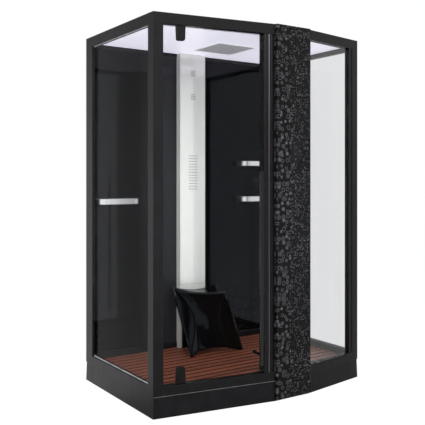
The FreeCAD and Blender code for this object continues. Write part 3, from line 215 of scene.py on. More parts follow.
def new_group(
    name: str, inputs: dict[str, tuple[str, Any]], outputs: Sequence[str]
) -> tuple[Graph, Any, Any]:
    """Starts a shader node group with named sockets.

    Args:
        name: the group's name.
        inputs: socket type and first value, by name.
        outputs: names of the numbers that it puts out.

    Returns:
        The graph, the group's input node and its output node.
    """
    tree = bpy.data.node_groups.new(name, "ShaderNodeTree")
    for label, (kind, value) in inputs.items():
        socket = tree.interface.new_socket(name=label, in_out="INPUT", socket_type="NodeSocket" + kind)
        if value is not None:
            socket.default_value = value
    for label in outputs:
        tree.interface.new_socket(name=label, in_out="OUTPUT", socket_type="NodeSocketFloat")
    return Graph(tree), tree.nodes.new("NodeGroupInput"), tree.nodes.new("NodeGroupOutput")


def fine_grain() -> bpy.types.NodeTree:
    """Orange peel of a sprayed coat: fine noise for the height, and noise 60 times wider for the shade.

    Returns:
        The group's tree.
    """
    inputs = {"Place": ("Vector", None), "Scale": ("Float", 900.0)}
    graph, given, out = new_group("FineGrain", inputs, ("Height", "Shade"))
    place, scale = given.outputs[0], given.outputs[1]
    cloud = graph.noise(place, graph.math("DIVIDE", scale, 60.0), 4.0)
    graph.feed(out.inputs["Height"], graph.noise(place, scale, 2.0))
    graph.feed(out.inputs["Shade"], graph.span(cloud, 0.3, 0.7, 0.0, 1.0))
    return graph.tree


def edge_wear_and_glint() -> bpy.types.NodeTree:
    """Edges where the coat is thin, lightened both as wear and as a painted highlight: how far a rounded
    normal turns from the true one, broken by noise.

    Returns:
        The group's tree.
    """
    inputs = {"Place": ("Vector", None), "Radius": ("Float", 0.003), "Breaks": ("Float", 40.0)}
    graph, given, out = new_group("EdgeWearAndGlint", inputs, ("Edge",))
    soft = graph.add("Bevel", {"Radius": given.outputs[1]}, samples=4)
    true = graph.add("NewGeometry")
    both = {0: soft.outputs[0], 1: true.outputs["Normal"]}
    alike = graph.add("VectorMath", both, operation="DOT_PRODUCT").outputs["Value"]
    turned = graph.math("SUBTRACT", 1.0, alike, True)
    broken = graph.span(graph.noise(given.outputs[0], given.outputs[2], 5.0), 0.35, 0.65, 0.35, 1.0)
    graph.feed(out.inputs["Edge"], graph.times(graph.span(turned, 0.01, 0.16, 0.0, 1.0), broken))
    return graph.tree


def wipe_marks() -> bpy.types.NodeTree:
    """Wiping marks and dried water: long noise strokes with a few soft spots.

    Returns:
        The group's tree.
    """
    inputs = {"Place": ("Vector", None), "Scale": ("Float", 6.0)}
    graph, given, out = new_group("WipeMarks", inputs, ("Mark",))
    place, scale = given.outputs[0], given.outputs[1]
    strokes = graph.noise(graph.scaled(place, (1.0, 1.0, 0.25)), scale, 6.0, 1.2)
    spots = graph.add("TexVoronoi", {"Vector": place, "Scale": graph.times(scale, 9.0)})
    drop = graph.span(spots.outputs["Distance"], 0.08, 0.16, 1.0, 0.0)
    stroke = graph.span(strokes, 0.4, 0.75, 0.0, 1.0)
    graph.feed(out.inputs["Mark"], graph.math("MAXIMUM", stroke, graph.times(drop, 0.5)))
    return graph.tree


def timber_figure() -> bpy.types.NodeTree:
    """Grain along X: stretched noise for pores and bands, one tone for each board, and a mask near each
    board's sides for painted shade along the gaps.

    Returns:
        The group's tree.
    """
    inputs = {"Place": ("Vector", None), "Pitch": ("Float", 0.0615), "Start": ("Float", 0.0)}
    graph, given, out = new_group("TimberFigure", inputs, ("Tone", "Figure", "Pore", "Side"))
    x, y, z = graph.axes(given.outputs[0])
    along = graph.math("DIVIDE", graph.math("SUBTRACT", y, given.outputs[2]), given.outputs[1])
    board = graph.math("FLOOR", along)
    inside = graph.math("SUBTRACT", along, board)
    near = graph.math("MINIMUM", inside, graph.math("SUBTRACT", 1.0, inside))
    tone = graph.add("TexWhiteNoise", {"W": board}, noise_dimensions="1D")
    moved = graph.add("CombineXYZ", {0: graph.plus(x, graph.times(board, 3.7)), 1: y, 2: z}).outputs[0]
    pore = graph.noise(graph.scaled(moved, (8.0, 420.0, 420.0)), 1.0, 3.0)
    band = graph.noise(graph.scaled(moved, (1.6, 26.0, 26.0)), 1.0, 5.0, 0.8)
    graph.feed(out.inputs["Tone"], tone.outputs["Value"])
    graph.feed(out.inputs["Figure"], graph.span(band, 0.3, 0.7, 0.0, 1.0))
    graph.feed(out.inputs["Pore"], graph.span(pore, 0.42, 0.6, 0.0, 1.0))
    graph.feed(out.inputs["Side"], graph.span(near, 0.10, 0.135, 1.0, 0.0))
    return graph.tree


def ring_field() -> bpy.types.NodeTree:
    """Scattered rings on an upright face: a line wherever the distance to a cell's point is near a radius.

    One cell in five has a second ring at half the radius, and every other cell has a dot.

    Returns:
        The group's tree.
    """
    inputs = {
        "Place": ("Vector", None),
        "Cells": ("Float", 34.0),
        "Radius": ("Float", 0.36),
        "Line": ("Float", 0.07),
    }
    graph, given, out = new_group("RingField", inputs, ("Ring", "Dot"))
    x, y, z = graph.axes(given.outputs[0])
    flat = graph.add("CombineXYZ", {0: graph.plus(x, y), 1: z, 2: 0.0}).outputs[0]
    scatter = {"Vector": flat, "Scale": given.outputs[1], "Randomness": 0.78}
    cells = graph.add("TexVoronoi", scatter, voronoi_dimensions="2D")
    away = cells.outputs["Distance"]
    size, second, dotted = graph.axes(cells.outputs["Color"])
    radius = graph.times(given.outputs[2], graph.span(size, 0.0, 1.0, 0.65, 1.15))
    lines = []
    for share in (1.0, 0.5):
        off = graph.math("ABSOLUTE", graph.math("SUBTRACT", away, graph.times(radius, share)))
        ends = {0: off, 1: 0.0, 2: given.outputs[3], 3: 1.0, 4: 0.0}
        lines.append(graph.add("MapRange", ends, interpolation_type="SMOOTHSTEP").outputs[0])
    core = graph.times(lines[1], graph.math("GREATER_THAN", second, 0.8))
    dot = graph.times(graph.span(away, 0.05, 0.12, 1.0, 0.0), graph.math("GREATER_THAN", dotted, 0.5))
    graph.feed(out.inputs["Ring"], graph.math("MAXIMUM", lines[0], core))
    graph.feed(out.inputs["Dot"], dot)
    return graph.tree


EFFECTS: dict[str, Callable[[], bpy.types.NodeTree]] = {
    "FineGrain": fine_grain,
    "EdgeWearAndGlint": edge_wear_and_glint,
    "WipeMarks": wipe_marks,
    "TimberFigure": timber_figure,
    "RingField": ring_field,
}


def effect(graph: Graph, name: str, **sockets: Any) -> bpy.types.Node:
    """Places an effect group in a material, built on its first use.

    Args:
        graph: the material's graph.
        name: the group's name.
        sockets: value or output for each input.

    Returns:
        The group node.
    """
    tree = bpy.data.node_groups.get(name) or EFFECTS[name]()
    return graph.add("Group", sockets, node_tree=tree)


# ---------------------------------------------------------------- finishes


def hold(shader: bpy.types.Node, **numbers: Any) -> None:
    """Sets constants on the shader's own sockets, named with underscores for spaces."""
    for key, value in numbers.items():
        shader.inputs[key.replace("_", " ")].default_value = value


def join(graph: Graph, shader: bpy.types.Node, **sockets: Any) -> None:
    """Joins outputs to the shader's sockets, named with underscores for spaces."""
    for key, value in sockets.items():
        graph.tree.links.new(value, shader.inputs[key.replace("_", " ")])


def shade(colour: Colour, gain: float, lift: float = 0.0) -> Colour:
    """A colour made lighter or darker, held to 1."""
    return tuple(min(1.0, channel * gain + lift) for channel in colour)


def wiped(graph: Graph, place: Any, roughness: float, marks: float, **settings: Any) -> bpy.types.NodeSocket:
    """Roughness with wipe marks added."""
    mark = effect(graph, "WipeMarks", Place=place, **settings).outputs["Mark"]
    return graph.plus(roughness, graph.times(mark, marks), True)


def bumped(
    graph: Graph, height: Any, distance: float, strength: float, radius: float = 0.0
) -> bpy.types.NodeSocket:
    """A bump, on edges that are rounded off if a radius is given.

    Args:
        graph: the material's graph.
        height: the height that it follows.
        distance: how far full height stands out.
        strength: share of the effect.
        radius: of the rounded edges.

    Returns:
        The normal.
    """
    bump = graph.add("Bump", {"Height": height, "Distance": distance, "Strength": strength})
    if radius:
        soft = graph.add("Bevel", {"Radius": radius}, samples=4)
        graph.feed(bump.inputs["Normal"], soft.outputs[0])
    return bump.outputs[0]


@dataclass(frozen=True)
class Finish:
    """A named finish, whose material is built on its first use."""

    name: str

    def material(self) -> bpy.types.Material:
        """Finds the material, or makes it.

        Returns:
            The material.
        """
        label = "finish_" + self.name
        found = bpy.data.materials.get(label)
        if found is None:
            found = bpy.data.materials.new(label)
            found.use_nodes = True
            graph = Graph(found.node_tree)
            self.build(graph, found.node_tree.nodes["Principled BSDF"], graph.place())
        return found

    def build(self, graph: Graph, shader: bpy.types.Node, place: bpy.types.NodeSocket) -> None:
        """Fills the graph; every kind of finish has its own way."""
        raise NotImplementedError


@dataclass(frozen=True)
class Coat(Finish):
    """A coated, moulded or dull surface with grain, lighter edges that are wear plus a painted highlight, and
    wipe marks.
    """

    colour: Colour
    roughness: float = 0.4
    specular: float = 0.25
    metallic: float = 0.0
    grain_scale: float = 900.0
    grain_depth: float = 0.00002
    edge: float = 0.5
    edge_radius: float = 0.002
    variety: float = 0.25
    marks: float = 0.06
    mirror: Colour = WHITE

    def build(self, graph: Graph, shader: bpy.types.Node, place: bpy.types.NodeSocket) -> None:
        """Clouds the colour by the grain, lightens the edges as wear plus a painted highlight, and roughens
        the wiped places.

        Args:
            graph: the material's graph.
            shader: its Principled shader.
            place: Object coordinates.
        """
        hold(shader, Metallic=self.metallic, Specular_IOR_Level=self.specular)
        hold(shader, Specular_Tint=(*self.mirror, 1.0))
        grain = effect(graph, "FineGrain", Place=place, Scale=self.grain_scale)
        wear = effect(graph, "EdgeWearAndGlint", Place=place, Radius=self.edge_radius)
        dark, light = (shade(self.colour, 1.0 + change) for change in (-self.variety, self.variety))
        body = graph.blend(grain.outputs["Shade"], dark, light)
        # The edge mask lightens the colour: partly wear, partly a painted highlight where the edges catch
        # light.
        share = graph.times(wear.outputs["Edge"], self.edge)
        join(
            graph,
            shader,
            Base_Color=graph.blend(share, body, shade(self.colour, 2.0, 0.03)),
            Roughness=wiped(graph, place, self.roughness, self.marks),
            Normal=bumped(graph, grain.outputs["Height"], self.grain_depth, 0.6, self.edge_radius),
        )


@dataclass(frozen=True)
class Polish(Finish):
    """Polished metal with faint wipe marks and slow tarnish."""

    colour: Colour
    roughness: float = 0.05
    tarnish: float = 0.08
    marks: float = 0.03
    ripple: float = 0.00002
    edge_radius: float = 0.0015

    def build(self, graph: Graph, shader: bpy.types.Node, place: bpy.types.NodeSocket) -> None:
        """Dulls the metal in wide clouds and roughens the wiped places.

        Args:
            graph: the material's graph.
            shader: its Principled shader.
            place: Object coordinates.
        """
        hold(shader, Metallic=1.0, Specular_IOR_Level=0.5)
        cloud = effect(graph, "FineGrain", Place=place, Scale=160.0).outputs["Shade"]
        join(
            graph,
            shader,
            Base_Color=graph.blend(cloud, shade(self.colour, 1.0 - self.tarnish), self.colour),
            Roughness=wiped(graph, place, self.roughness, self.marks),
            Normal=bumped(graph, cloud, self.ripple, 0.3, self.edge_radius),
        )


@dataclass(frozen=True)
class ClearGlass(Finish):
    """Toughened glass: clear, a little cool, with faint wipe marks in its tint."""

    tint: Colour = (0.978, 0.981, 0.984)
    specular: float = 0.5
    roughness: float = 0.0
    bending: float = 1.08
    open_air: Colour = (0.93, 0.95, 0.945)

    def build(self, graph: Graph, shader: bpy.types.Node, place: bpy.types.NodeSocket) -> None:
        """Makes the glass. Shadow and diffuse rays pass straight through, so the inside is lit.

        Args:
            graph: the material's graph.
            shader: its Principled shader.
            place: Object coordinates.
        """
        hold(shader, Roughness=self.roughness, Metallic=0.0, Specular_IOR_Level=self.specular)
        hold(shader, Transmission_Weight=1.0, IOR=self.bending)
        mark = effect(graph, "WipeMarks", Place=place, Scale=4.0).outputs["Mark"]
        join(graph, shader, Base_Color=graph.blend(mark, self.tint, shade(self.tint, 0.985)))
        path = graph.add("LightPath").outputs
        through = graph.math("MAXIMUM", path["Is Shadow Ray"], path["Is Diffuse Ray"])
        clear = graph.add("BsdfTransparent", {0: (*self.open_air, 1.0)})
        either = graph.add("MixShader", {0: through, 1: shader.outputs[0], 2: clear.outputs[0]})
        graph.feed(graph.tree.nodes["Material Output"].inputs[0], either.outputs[0])


@dataclass(frozen=True)
class SheenGlass(Finish):
    """Black glass with a painted sheen on its front face: a soft pale painted reflection that grows along X.
    """

    colour: Colour
    start: float
    end: float
    front: float
    painted_sheen: Colour = (0.026, 0.026, 0.029)
    roughness: float = 0.02
    specular: float = 0.17
    mirror: Colour = (0.84, 0.88, 1.0)
    front_depth: float = 0.001

    def build(self, graph: Graph, shader: bpy.types.Node, place: bpy.types.NodeSocket) -> None:
        """Mixes the painted sheen in by the way along X, slow noise and the front face's mask.

        Args:
            graph: the material's graph.
            shader: its Principled shader.
            place: Object coordinates.
        """
        hold(shader, Metallic=0.0, Specular_IOR_Level=self.specular, Specular_Tint=(*self.mirror, 1.0))
        x, y, _ = graph.axes(place)
        grown = graph.span(x, self.start, self.end, 0.0, 1.0)
        cloud = graph.span(graph.noise(place, 1.6, 2.0), 0.2, 0.7, 0.7, 1.0)
        facing = graph.math("LESS_THAN", y, self.front + self.front_depth)
        # Painted sheen: the pale colour stands for light reflected in the black glass.
        share = graph.times(graph.times(grown, cloud), facing)
        rough = wiped(graph, place, self.roughness, 0.02)
        join(graph, shader, Base_Color=graph.blend(share, self.colour, self.painted_sheen), Roughness=rough)


@dataclass(frozen=True)
class Timber(Finish):
    """Oiled hardwood boards with open pores along X, and painted shade on their sides and along the gaps."""

    dark: Colour
    light: Colour
    pitch: float
    start: float
    top: float
    warmth: Colour = (1.15, 0.95, 0.85)
    side_low: float = 0.007
    side_high: float = 0.0015

    def build(self, graph: Graph, shader: bpy.types.Node, place: bpy.types.NodeSocket) -> None:
        """Lays bands, board tones, pores, lighter edges that are wear plus a painted highlight, and painted
        shade on the sides over one another.

        Args:
            graph: the material's graph.
            shader: its Principled shader.
            place: Object coordinates.
        """
        hold(shader, Metallic=0.0, Specular_IOR_Level=0.35)
        figure = effect(graph, "TimberFigure", Place=place, Pitch=self.pitch, Start=self.start).outputs
        wear = effect(graph, "EdgeWearAndGlint", Place=place, Radius=0.002, Breaks=60.0).outputs["Edge"]
        redder = tuple(channel * gain for channel, gain in zip(self.light, self.warmth))
        height = graph.axes(place)[2]
        # Painted shade: faces below the boards' top, that is their sides, are darkened as the shadow in the
        # gaps.
        gap_shade = graph.span(height, self.top - self.side_low, self.top - self.side_high, 1.0, 0.0)
        colour = graph.blend(figure["Figure"], self.dark, self.light)
        # The edge layer is wear plus a painted highlight; the last layer is painted shade on the sides and
        # along the gaps.
        layers = (
            (graph.times(figure["Tone"], 0.45), redder),
            (graph.times(figure["Pore"], 0.30), shade(self.dark, 0.45)),
            (graph.times(wear, 0.35), shade(self.light, 1.6)),
            (graph.math("MAXIMUM", gap_shade, figure["Side"]), shade(self.dark, 0.18)),
        )
        for share, over in layers:
            colour = graph.blend(share, colour, over)
        rough = graph.plus(0.38, graph.times(figure["Pore"], 0.25), True)
        pits = graph.add("Bump", {"Height": figure["Pore"], "Distance": 0.0002, "Strength": 0.5}, invert=True)
        join(graph, shader, Base_Color=colour, Roughness=rough, Normal=pits.outputs[0])


@dataclass(frozen=True)
class RingPrint(Finish):
    """Gloss black face with scattered raised rings, large on the left and small on the right.

    The large and small fields are given as cells to a metre, radius and line, the last two in cells.
    """

    left: float
    right: float
    large: tuple[float, float, float] = (31.0, 0.31, 0.055)
    small: tuple[float, float, float] = (60.0, 0.23, 0.095)
    base: Colour = (0.003, 0.003, 0.0036)
    line: Colour = (0.17, 0.163, 0.175)

    def build(self, graph: Graph, shader: bpy.types.Node, place: bpy.types.NodeSocket) -> None:
        """Shares two ring fields out by the way across and by slow noise.

        Args:
            graph: the material's graph.
            shader: its Principled shader.
            place: Object coordinates.
        """
        hold(shader, Metallic=0.0, Specular_IOR_Level=0.16)
        large, small = (
            effect(graph, "RingField", Place=place, Cells=cells, Radius=radius, Line=line).outputs
            for cells, radius, line in (self.large, self.small)
        )
        across = graph.span(graph.axes(place)[0], self.left, self.right, 0.15, 0.75)
        cloud = graph.noise(place, 14.0, 1.0)
        pick = graph.math("GREATER_THAN", graph.plus(across, graph.times(cloud, 0.5)), 0.62)
        patchy = graph.span(graph.noise(place, 22.0, 1.0), 0.42, 0.58, 0.15, 0.9)
        rings = graph.mix(pick, large["Ring"], graph.times(small["Ring"], patchy))
        marks = graph.math("MAXIMUM", rings, large["Dot"])
        join(
            graph,
            shader,
            Base_Color=graph.blend(marks, self.base, self.line),
            Roughness=graph.math("SUBTRACT", 0.34, graph.times(marks, 0.14)),
            Normal=bumped(graph, marks, 0.0005, 0.4),
        )


@dataclass(frozen=True)
class LitPanel(Finish):
    """A diffuser lit from behind, a little brighter towards its two light bars; on the rain plate, which is
    no lamp, the same glow is painted light.
    """

    glow: Colour
    strength: float
    half_width: float = 0.7
    dark_grain: Colour = (0.72, 0.72, 0.74)
    light_grain: Colour = (0.8, 0.8, 0.82)

    def build(self, graph: Graph, shader: bpy.types.Node, place: bpy.types.NodeSocket) -> None:
        """Lets the glow grow with the way from the middle and with slow noise.

        Args:
            graph: the material's graph.
            shader: its Principled shader.
            place: Object coordinates.
        """
        hold(shader, Roughness=0.35, Metallic=0.0, Specular_IOR_Level=0.3, Emission_Strength=self.strength)
        side = graph.math("DIVIDE", graph.math("ABSOLUTE", graph.axes(place)[0]), self.half_width)
        cloud = graph.times(graph.noise(place, 2.5, 1.0), 0.4)
        share = graph.plus(graph.span(side, 0.2, 1.0, 0.0, 0.6), cloud, True)
        grain = effect(graph, "FineGrain", Place=place, Scale=1200.0)
        body = graph.blend(grain.outputs["Shade"], self.dark_grain, self.light_grain)
        glow = graph.blend(share, shade(self.glow, 0.9), self.glow)
        join(graph, shader, Base_Color=body, Emission_Color=glow)


@dataclass(frozen=True)
class GlossMould(Finish):
    """High gloss moulded plastic with a slow ripple and a painted highlight along its edges."""

    colour: Colour
    roughness: float = 0.05
    specular: float = 0.5
    bending: float = 1.24
    mirror: Colour = (0.80, 0.88, 1.0)
    # rim: the painted highlight colour along the edges.
    rim: Colour = (0.42, 0.43, 0.45)
    glint_radius: float = 0.0024
    ripple: float = 0.0008

    def build(self, graph: Graph, shader: bpy.types.Node, place: bpy.types.NodeSocket) -> None:
        """Clouds the colour, paints a highlight on the edges and lets the gloss ripple.

        Args:
            graph: the material's graph.
            shader: its Principled shader.
            place: Object coordinates.
        """
        hold(shader, Metallic=0.0, Specular_IOR_Level=self.specular, IOR=self.bending)
        hold(shader, Specular_Tint=(*self.mirror, 1.0))
        grain = effect(graph, "FineGrain", Place=place, Scale=700.0)
        wear = effect(graph, "EdgeWearAndGlint", Place=place, Radius=self.glint_radius, Breaks=8.0)
        body = graph.blend(grain.outputs["Shade"], shade(self.colour, 0.7), self.colour)
        # The edge mask lays the rim colour on as a painted highlight along the ridges.
        join(
            graph,
            shader,
            Base_Color=graph.blend(graph.times(wear.outputs["Edge"], 0.8), body, self.rim),
            Roughness=wiped(graph, place, self.roughness, 0.05, Scale=9.0),
            Normal=bumped(graph, graph.noise(place, 9.0, 1.0), self.ripple, 0.4),
        )


FRAME_BLACK = Coat("powder_black", (0.0058, 0.0052, 0.0064), 0.36, 0.27, edge=0.8, edge_radius=0.0025)
STRIKE_BLACK = Coat("strike_gloss_black", (0.004, 0.004, 0.0045), 0.15, 0.4, grain_depth=0.000004, edge=0.4)
TRAY_BLACK = Coat("tray_black", (0.0072, 0.0066, 0.0080), 0.32, 0.22, edge=0.8, edge_radius=0.004)
COLUMN_INSIDE = Coat("housing_black", (0.0015, 0.0015, 0.0015), 0.25, 0.08, edge=0.3)
CLAMP_BLACK = Coat("clamp_black", (0.004, 0.004, 0.004), 0.35, edge=0.6)
BACK_GLASS = Coat(
    "back_glass_black",
    (0.0012, 0.0013, 0.0021),
    0.015,
    0.17,
    grain_depth=0.0,
    edge=0.2,
    marks=0.02,
    mirror=(0.84, 0.88, 1.0),
)
NOZZLE_BLACK = Coat("nozzle_rubber", (0.02, 0.02, 0.02), 0.55, 0.3, edge=0.2)
BEARER_BLACK = Coat("bearer_black", (0.008, 0.008, 0.008), 0.6, edge=0.4)
FOOT_RUBBER = Coat("foot_rubber", (0.012, 0.012, 0.012), 0.7, edge=0.3)
DRAIN_GREY = Coat("drain_grey", (0.28, 0.28, 0.29), 0.5, edge=0.3)
UNIT_GREY = Coat("unit_grey", (0.38, 0.39, 0.40), 0.42, edge_radius=0.003)
ROOF_WHITE = Coat("roof_white", (0.62, 0.62, 0.64), edge=0.3, variety=0.05)
# Painted highlight: pale strips that stand for the glass edges catching light.
GLINT_STRIP_PALE = Coat("glint_strip_pale", (0.62, 0.64, 0.65), specular=0.4, edge=0.2, edge_radius=0.0005)
# Painted highlight: the pale bead on the tray seam by the door.
SEAM_GLINT_GREY = Coat("seam_glint_grey", (0.22, 0.22, 0.225), edge=0.0)
# Painted shade: the dark line on the tray seam by the side.
SEAM_SHADE_DARK = Coat("seam_shade_dark", (0.001, 0.001, 0.001), 0.6, 0.1, edge=0.0)
# Painted shade: the black band beside the shower column.
SHADE_BAND_BLACK = Coat("shade_band_black", (0.0007, 0.0007, 0.0009), 0.3, 0.03, edge=0.0, marks=0.0)
COLUMN_SATIN = Coat(
    "column_satin",
    (0.86, 0.85, 0.83),
    0.12,
    0.45,
    metallic=0.2,
    grain_depth=0.0,
    edge=0.0,
    variety=0.015,
    marks=0.04,
)
DISPLAY_GLASS = Coat("display_glass", (0.006, 0.006, 0.008), 0.08, 0.45, grain_depth=0.0, edge=0.3)
DISPLAY_MARK = Coat("display_mark", (0.06, 0.064, 0.07), edge=0.0)
STEEL = Polish("polished_steel", (0.88, 0.87, 0.845))
CHROME = Polish("bright_chrome", (0.90, 0.90, 0.905), 0.06)
BAND_CHROME = Polish("band_chrome", (0.86, 0.86, 0.87), 0.3)
DARK_CHROME = Polish("dark_chrome", (0.07, 0.07, 0.074), 0.12)
TRIM_GREY = Polish("trim_grey", (0.16, 0.15, 0.172), 0.2)
BRASS = Polish("pipe_brass", (0.66, 0.50, 0.22), 0.25)
CLEAR_GLASS = ClearGlass("clear_glass")
LEFT_GLASS = ClearGlass("left_glass", bending=1.065)
SIDE_GLASS = ClearGlass("side_glass", (0.89, 0.895, 0.898), bending=1.4)
RIGHT_GLASS = ClearGlass("right_glass", (0.85, 0.857, 0.864), bending=1.2)
CLEAR_SEAL = ClearGlass("seal_clear", (0.93, 0.935, 0.94), 0.2, 0.05)
SEAT_GLOSS = GlossMould("seat_gloss_black", (0.0012, 0.0012, 0.0016), 0.03)
CEILING_LIT = LitPanel("ceiling_lit", (0.66, 0.635, 0.755), 0.88)
LIGHT_BAR = LitPanel("light_bar", (1.0, 0.98, 1.0), 1.0)
# Painted light: the rain plate is no lamp; its glow stands for the light that falls on it.
RAIN_PLATE_PAINTED_GLOW = LitPanel("rain_plate_painted_glow", (0.62, 0.62, 0.67), 0.52)


# ---------------------------------------------------------------- meshes


@dataclass(frozen=True)
class Wear:
    """What an added piece wears, its material slot in the record and the body that it rides on."""

    finish: Finish
    slot: str
    body: Body = Body.CABIN


NOZZLE_WEAR = Wear(NOZZLE_BLACK, "nozzle_black")


def surface(name: str, points: Grid, faces: Grid, wear: Wear, smooth: bool = False) -> bpy.types.Object:
    """Makes a closed piece from arrays of points and four-cornered faces.

    Args:
        name: the piece's name.
        points: one row for each vertex.
        faces: one row of four vertex numbers for each face.
        wear: its finish, slot and body.
        smooth: whether it is shaded smooth.

    Returns:
        The piece.
    """
    mesh = bpy.data.meshes.new(name)
    mesh.vertices.add(len(points))
    mesh.vertices.foreach_set("co", np.asarray(points, dtype=np.float32).ravel())
    mesh.loops.add(faces.size)
    mesh.loops.foreach_set("vertex_index", faces.astype(np.int32).ravel())
    mesh.polygons.add(len(faces))
    mesh.polygons.foreach_set("loop_start", np.arange(0, faces.size, faces.shape[1], dtype=np.int32))
    mesh.update(calc_edges=True)
    mesh.validate()
    mesh.polygons.foreach_set("use_smooth", np.full(len(mesh.polygons), smooth))
    make_outward(mesh)
    piece = bpy.data.objects.new(name, mesh)
    bpy.context.scene.collection.objects.link(piece)
    mesh.materials.append(wear.finish.material())
    body, slot = wear.body, wear.slot
    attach(piece, body.value)
    LOG.info("made %s, %d faces", name, len(mesh.polygons))
    return piece


def make_outward(mesh: bpy.types.Mesh) -> None:
    """Merges a closed mesh's doubled points and turns its faces outwards.

    Args:
        mesh: the mesh to mend.
    """
    work = bmesh.new()
    work.from_mesh(mesh)
    bmesh.ops.remove_doubles(work, verts=work.verts, dist=MERGE)
    bmesh.ops.recalc_face_normals(work, faces=work.faces)
    work.to_mesh(mesh)
    work.free()


def sheet_faces(rows: int, columns: int, closed: bool) -> Grid:
    """Four-cornered faces of a grid of points.

    Args:
        rows: rows of points.
        columns: points in a row.
        closed: whether the last column joins the first.

    Returns:
        One row of four vertex numbers for each face.
    """
    row = np.arange(rows - 1)[:, None] * columns
    column = np.arange(columns if closed else columns - 1)[None, :]
    after = (column + 1) % columns
    corners = (row + column, row + after, row + columns + after, row + columns + column)
    return np.stack(np.broadcast_arrays(*corners), axis=-1).reshape(-1, 4)


def end_faces(count: int) -> Grid:
    """The two ends of a square section that has been carried along a path of so many points."""
    last = 4 * (count - 1)
    return np.array([[3, 2, 1, 0], [last, last + 1, last + 2, last + 3]])


def carry(path: Grid, section: Grid) -> Grid:
    """Points of a section carried along a path: every path point plus each of the section's corners."""
    return (path[:, None, :] + section).reshape(-1, 3)


def joined(name: str, parts: Sequence[tuple[Grid, Grid]], wear: Wear, smooth: bool) -> bpy.types.Object:
    """Joins several small closed forms in one piece.

    Args:
        name: the piece's name.
        parts: points and faces of each form.
        wear: its finish, slot and body.
        smooth: whether it is shaded smooth.

    Returns:
        The piece.
    """
    starts = np.cumsum([0] + [len(points) for points, _ in parts])
    faces = [corners + start for (_, corners), start in zip(parts, starts)]
    return surface(name, np.vstack([points for points, _ in parts]), np.vstack(faces), wear, smooth)


def buttons(
    name: str, centres: Grid, radius: float, height: float, facing: Plane, wear: Wear, sides: int = 8
) -> bpy.types.Object:
    """Many small domed buttons in one piece.

    Formula: each button is a profile of radii (0, 1, 0.8, 0.35, 0) and heights
    (0, 0, 0.7, 1, 1.05) turned about its axis, and moved to its centre.

    Args:
        name: the piece's name.
        centres: the middle of each foot.
        radius: of the foot.
        height: of the dome.
        facing: the way that the domes point.
        wear: their finish, slot and body.
        sides: corners round each button.

    Returns:
        The piece.
    """
    out = np.array([0.0, 1.0, 0.8, 0.35, 0.0]) * radius
    up = np.array([0.0, 0.0, 0.7, 1.0, 1.05]) * height
    turn = np.linspace(0.0, 2.0 * np.pi, sides, endpoint=False)
    a = out[:, None] * np.cos(turn)[None, :]
    b = out[:, None] * np.sin(turn)[None, :]
    c = np.broadcast_to(up[:, None], a.shape)
    local = np.stack((a, b, -c) if facing is Plane.DOWN else (a, -c, b), -1)
    one = sheet_faces(len(out), sides, True)
    starts = np.arange(len(centres))[:, None, None] * out.size * sides
    points = carry(centres, local.reshape(-1, 3))
    return surface(name, points, (one + starts).reshape(-1, 4), wear, smooth=True)


def block(low: Sequence[float], high: Sequence[float]) -> tuple[Grid, Grid]:
    """A plain block between two corners.

    Args:
        low: its lowest corner.
        high: its highest corner.

    Returns:
        Its points and faces.
    """
    (x0, y0, z0), (x1, y1, z1) = low, high
    points = np.array([[x, y, z] for z in (z0, z1) for x, y in ((x0, y0), (x1, y0), (x1, y1), (x0, y1))])
    return points, np.vstack((end_faces(2), sheet_faces(2, 4, True)))


def copy_of(node: bpy.types.Object, name: str) -> bpy.types.Object:
    """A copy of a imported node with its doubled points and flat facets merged.

    Args:
        node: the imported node's object.
        name: the copy's name.

    Returns:
        The copy, flat shaded and with no finish yet.
    """
    mesh = node.data.copy()
    mesh.name = name
    work = bmesh.new()
    work.from_mesh(mesh)
    bmesh.ops.remove_doubles(work, verts=work.verts, dist=COPY_MERGE)
    bmesh.ops.dissolve_limit(work, angle_limit=FLAT_ANGLE, verts=work.verts, edges=work.edges)
    work.to_mesh(mesh)
    work.free()
    mesh.materials.clear()
    mesh.polygons.foreach_set("use_smooth", np.zeros(len(mesh.polygons), dtype=bool))
    piece = bpy.data.objects.new(name, mesh)
    bpy.context.scene.collection.objects.link(piece)
    LOG.info("copied %s as %s", node.name, name)
    return piece


@dataclass
class Cabin:
    """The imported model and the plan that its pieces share."""

    frame: dict[str, Any]
    bow: float = math.radians(9.5)
    origin: Place = (-0.75, -0.366152, 0.0)

    def dress(self, finish: Finish, *names: str) -> None:
        """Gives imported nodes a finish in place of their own.

        Args:
            finish: the finish to wear.
            names: the nodes.
        """
        for name in names:
            materials = self.frame["nodes"][name].data.materials
            materials.clear()
            materials.append(finish.material())
            LOG.info("dressed %s in %s", name, finish.name)

    def door_axes(self) -> tuple[Grid, Grid]:
        """Unit steps along and behind the door's line, which the bow turns about the front-left corner."""
        cosine, sine = math.cos(self.bow), math.sin(self.bow)
        return np.array([cosine, -sine, 0.0]), np.array([sine, cosine, 0.0])

    def door_point(self, u: float, v: float) -> Grid:
        """A floor point given along and behind the door's line."""
        along, back = self.door_axes()
        return np.array(self.origin) + u * along + v * back


# ---------------------------------------------------------------- sub-assemblies


@dataclass
class TraySet:
    """The tray with its feet, waste and supplies."""

    cabin: Cabin

    def build(self) -> None:
        """Dresses the tray and what is under it."""
        self.cabin.dress(TRAY_BLACK, "tray")
        self.cabin.dress(FOOT_RUBBER, "tray_feet")
        self.cabin.dress(DRAIN_GREY, "waste_trap")
        self.cabin.dress(STEEL, "waste_grate")
        self.cabin.dress(BRASS, "supply_pipes")


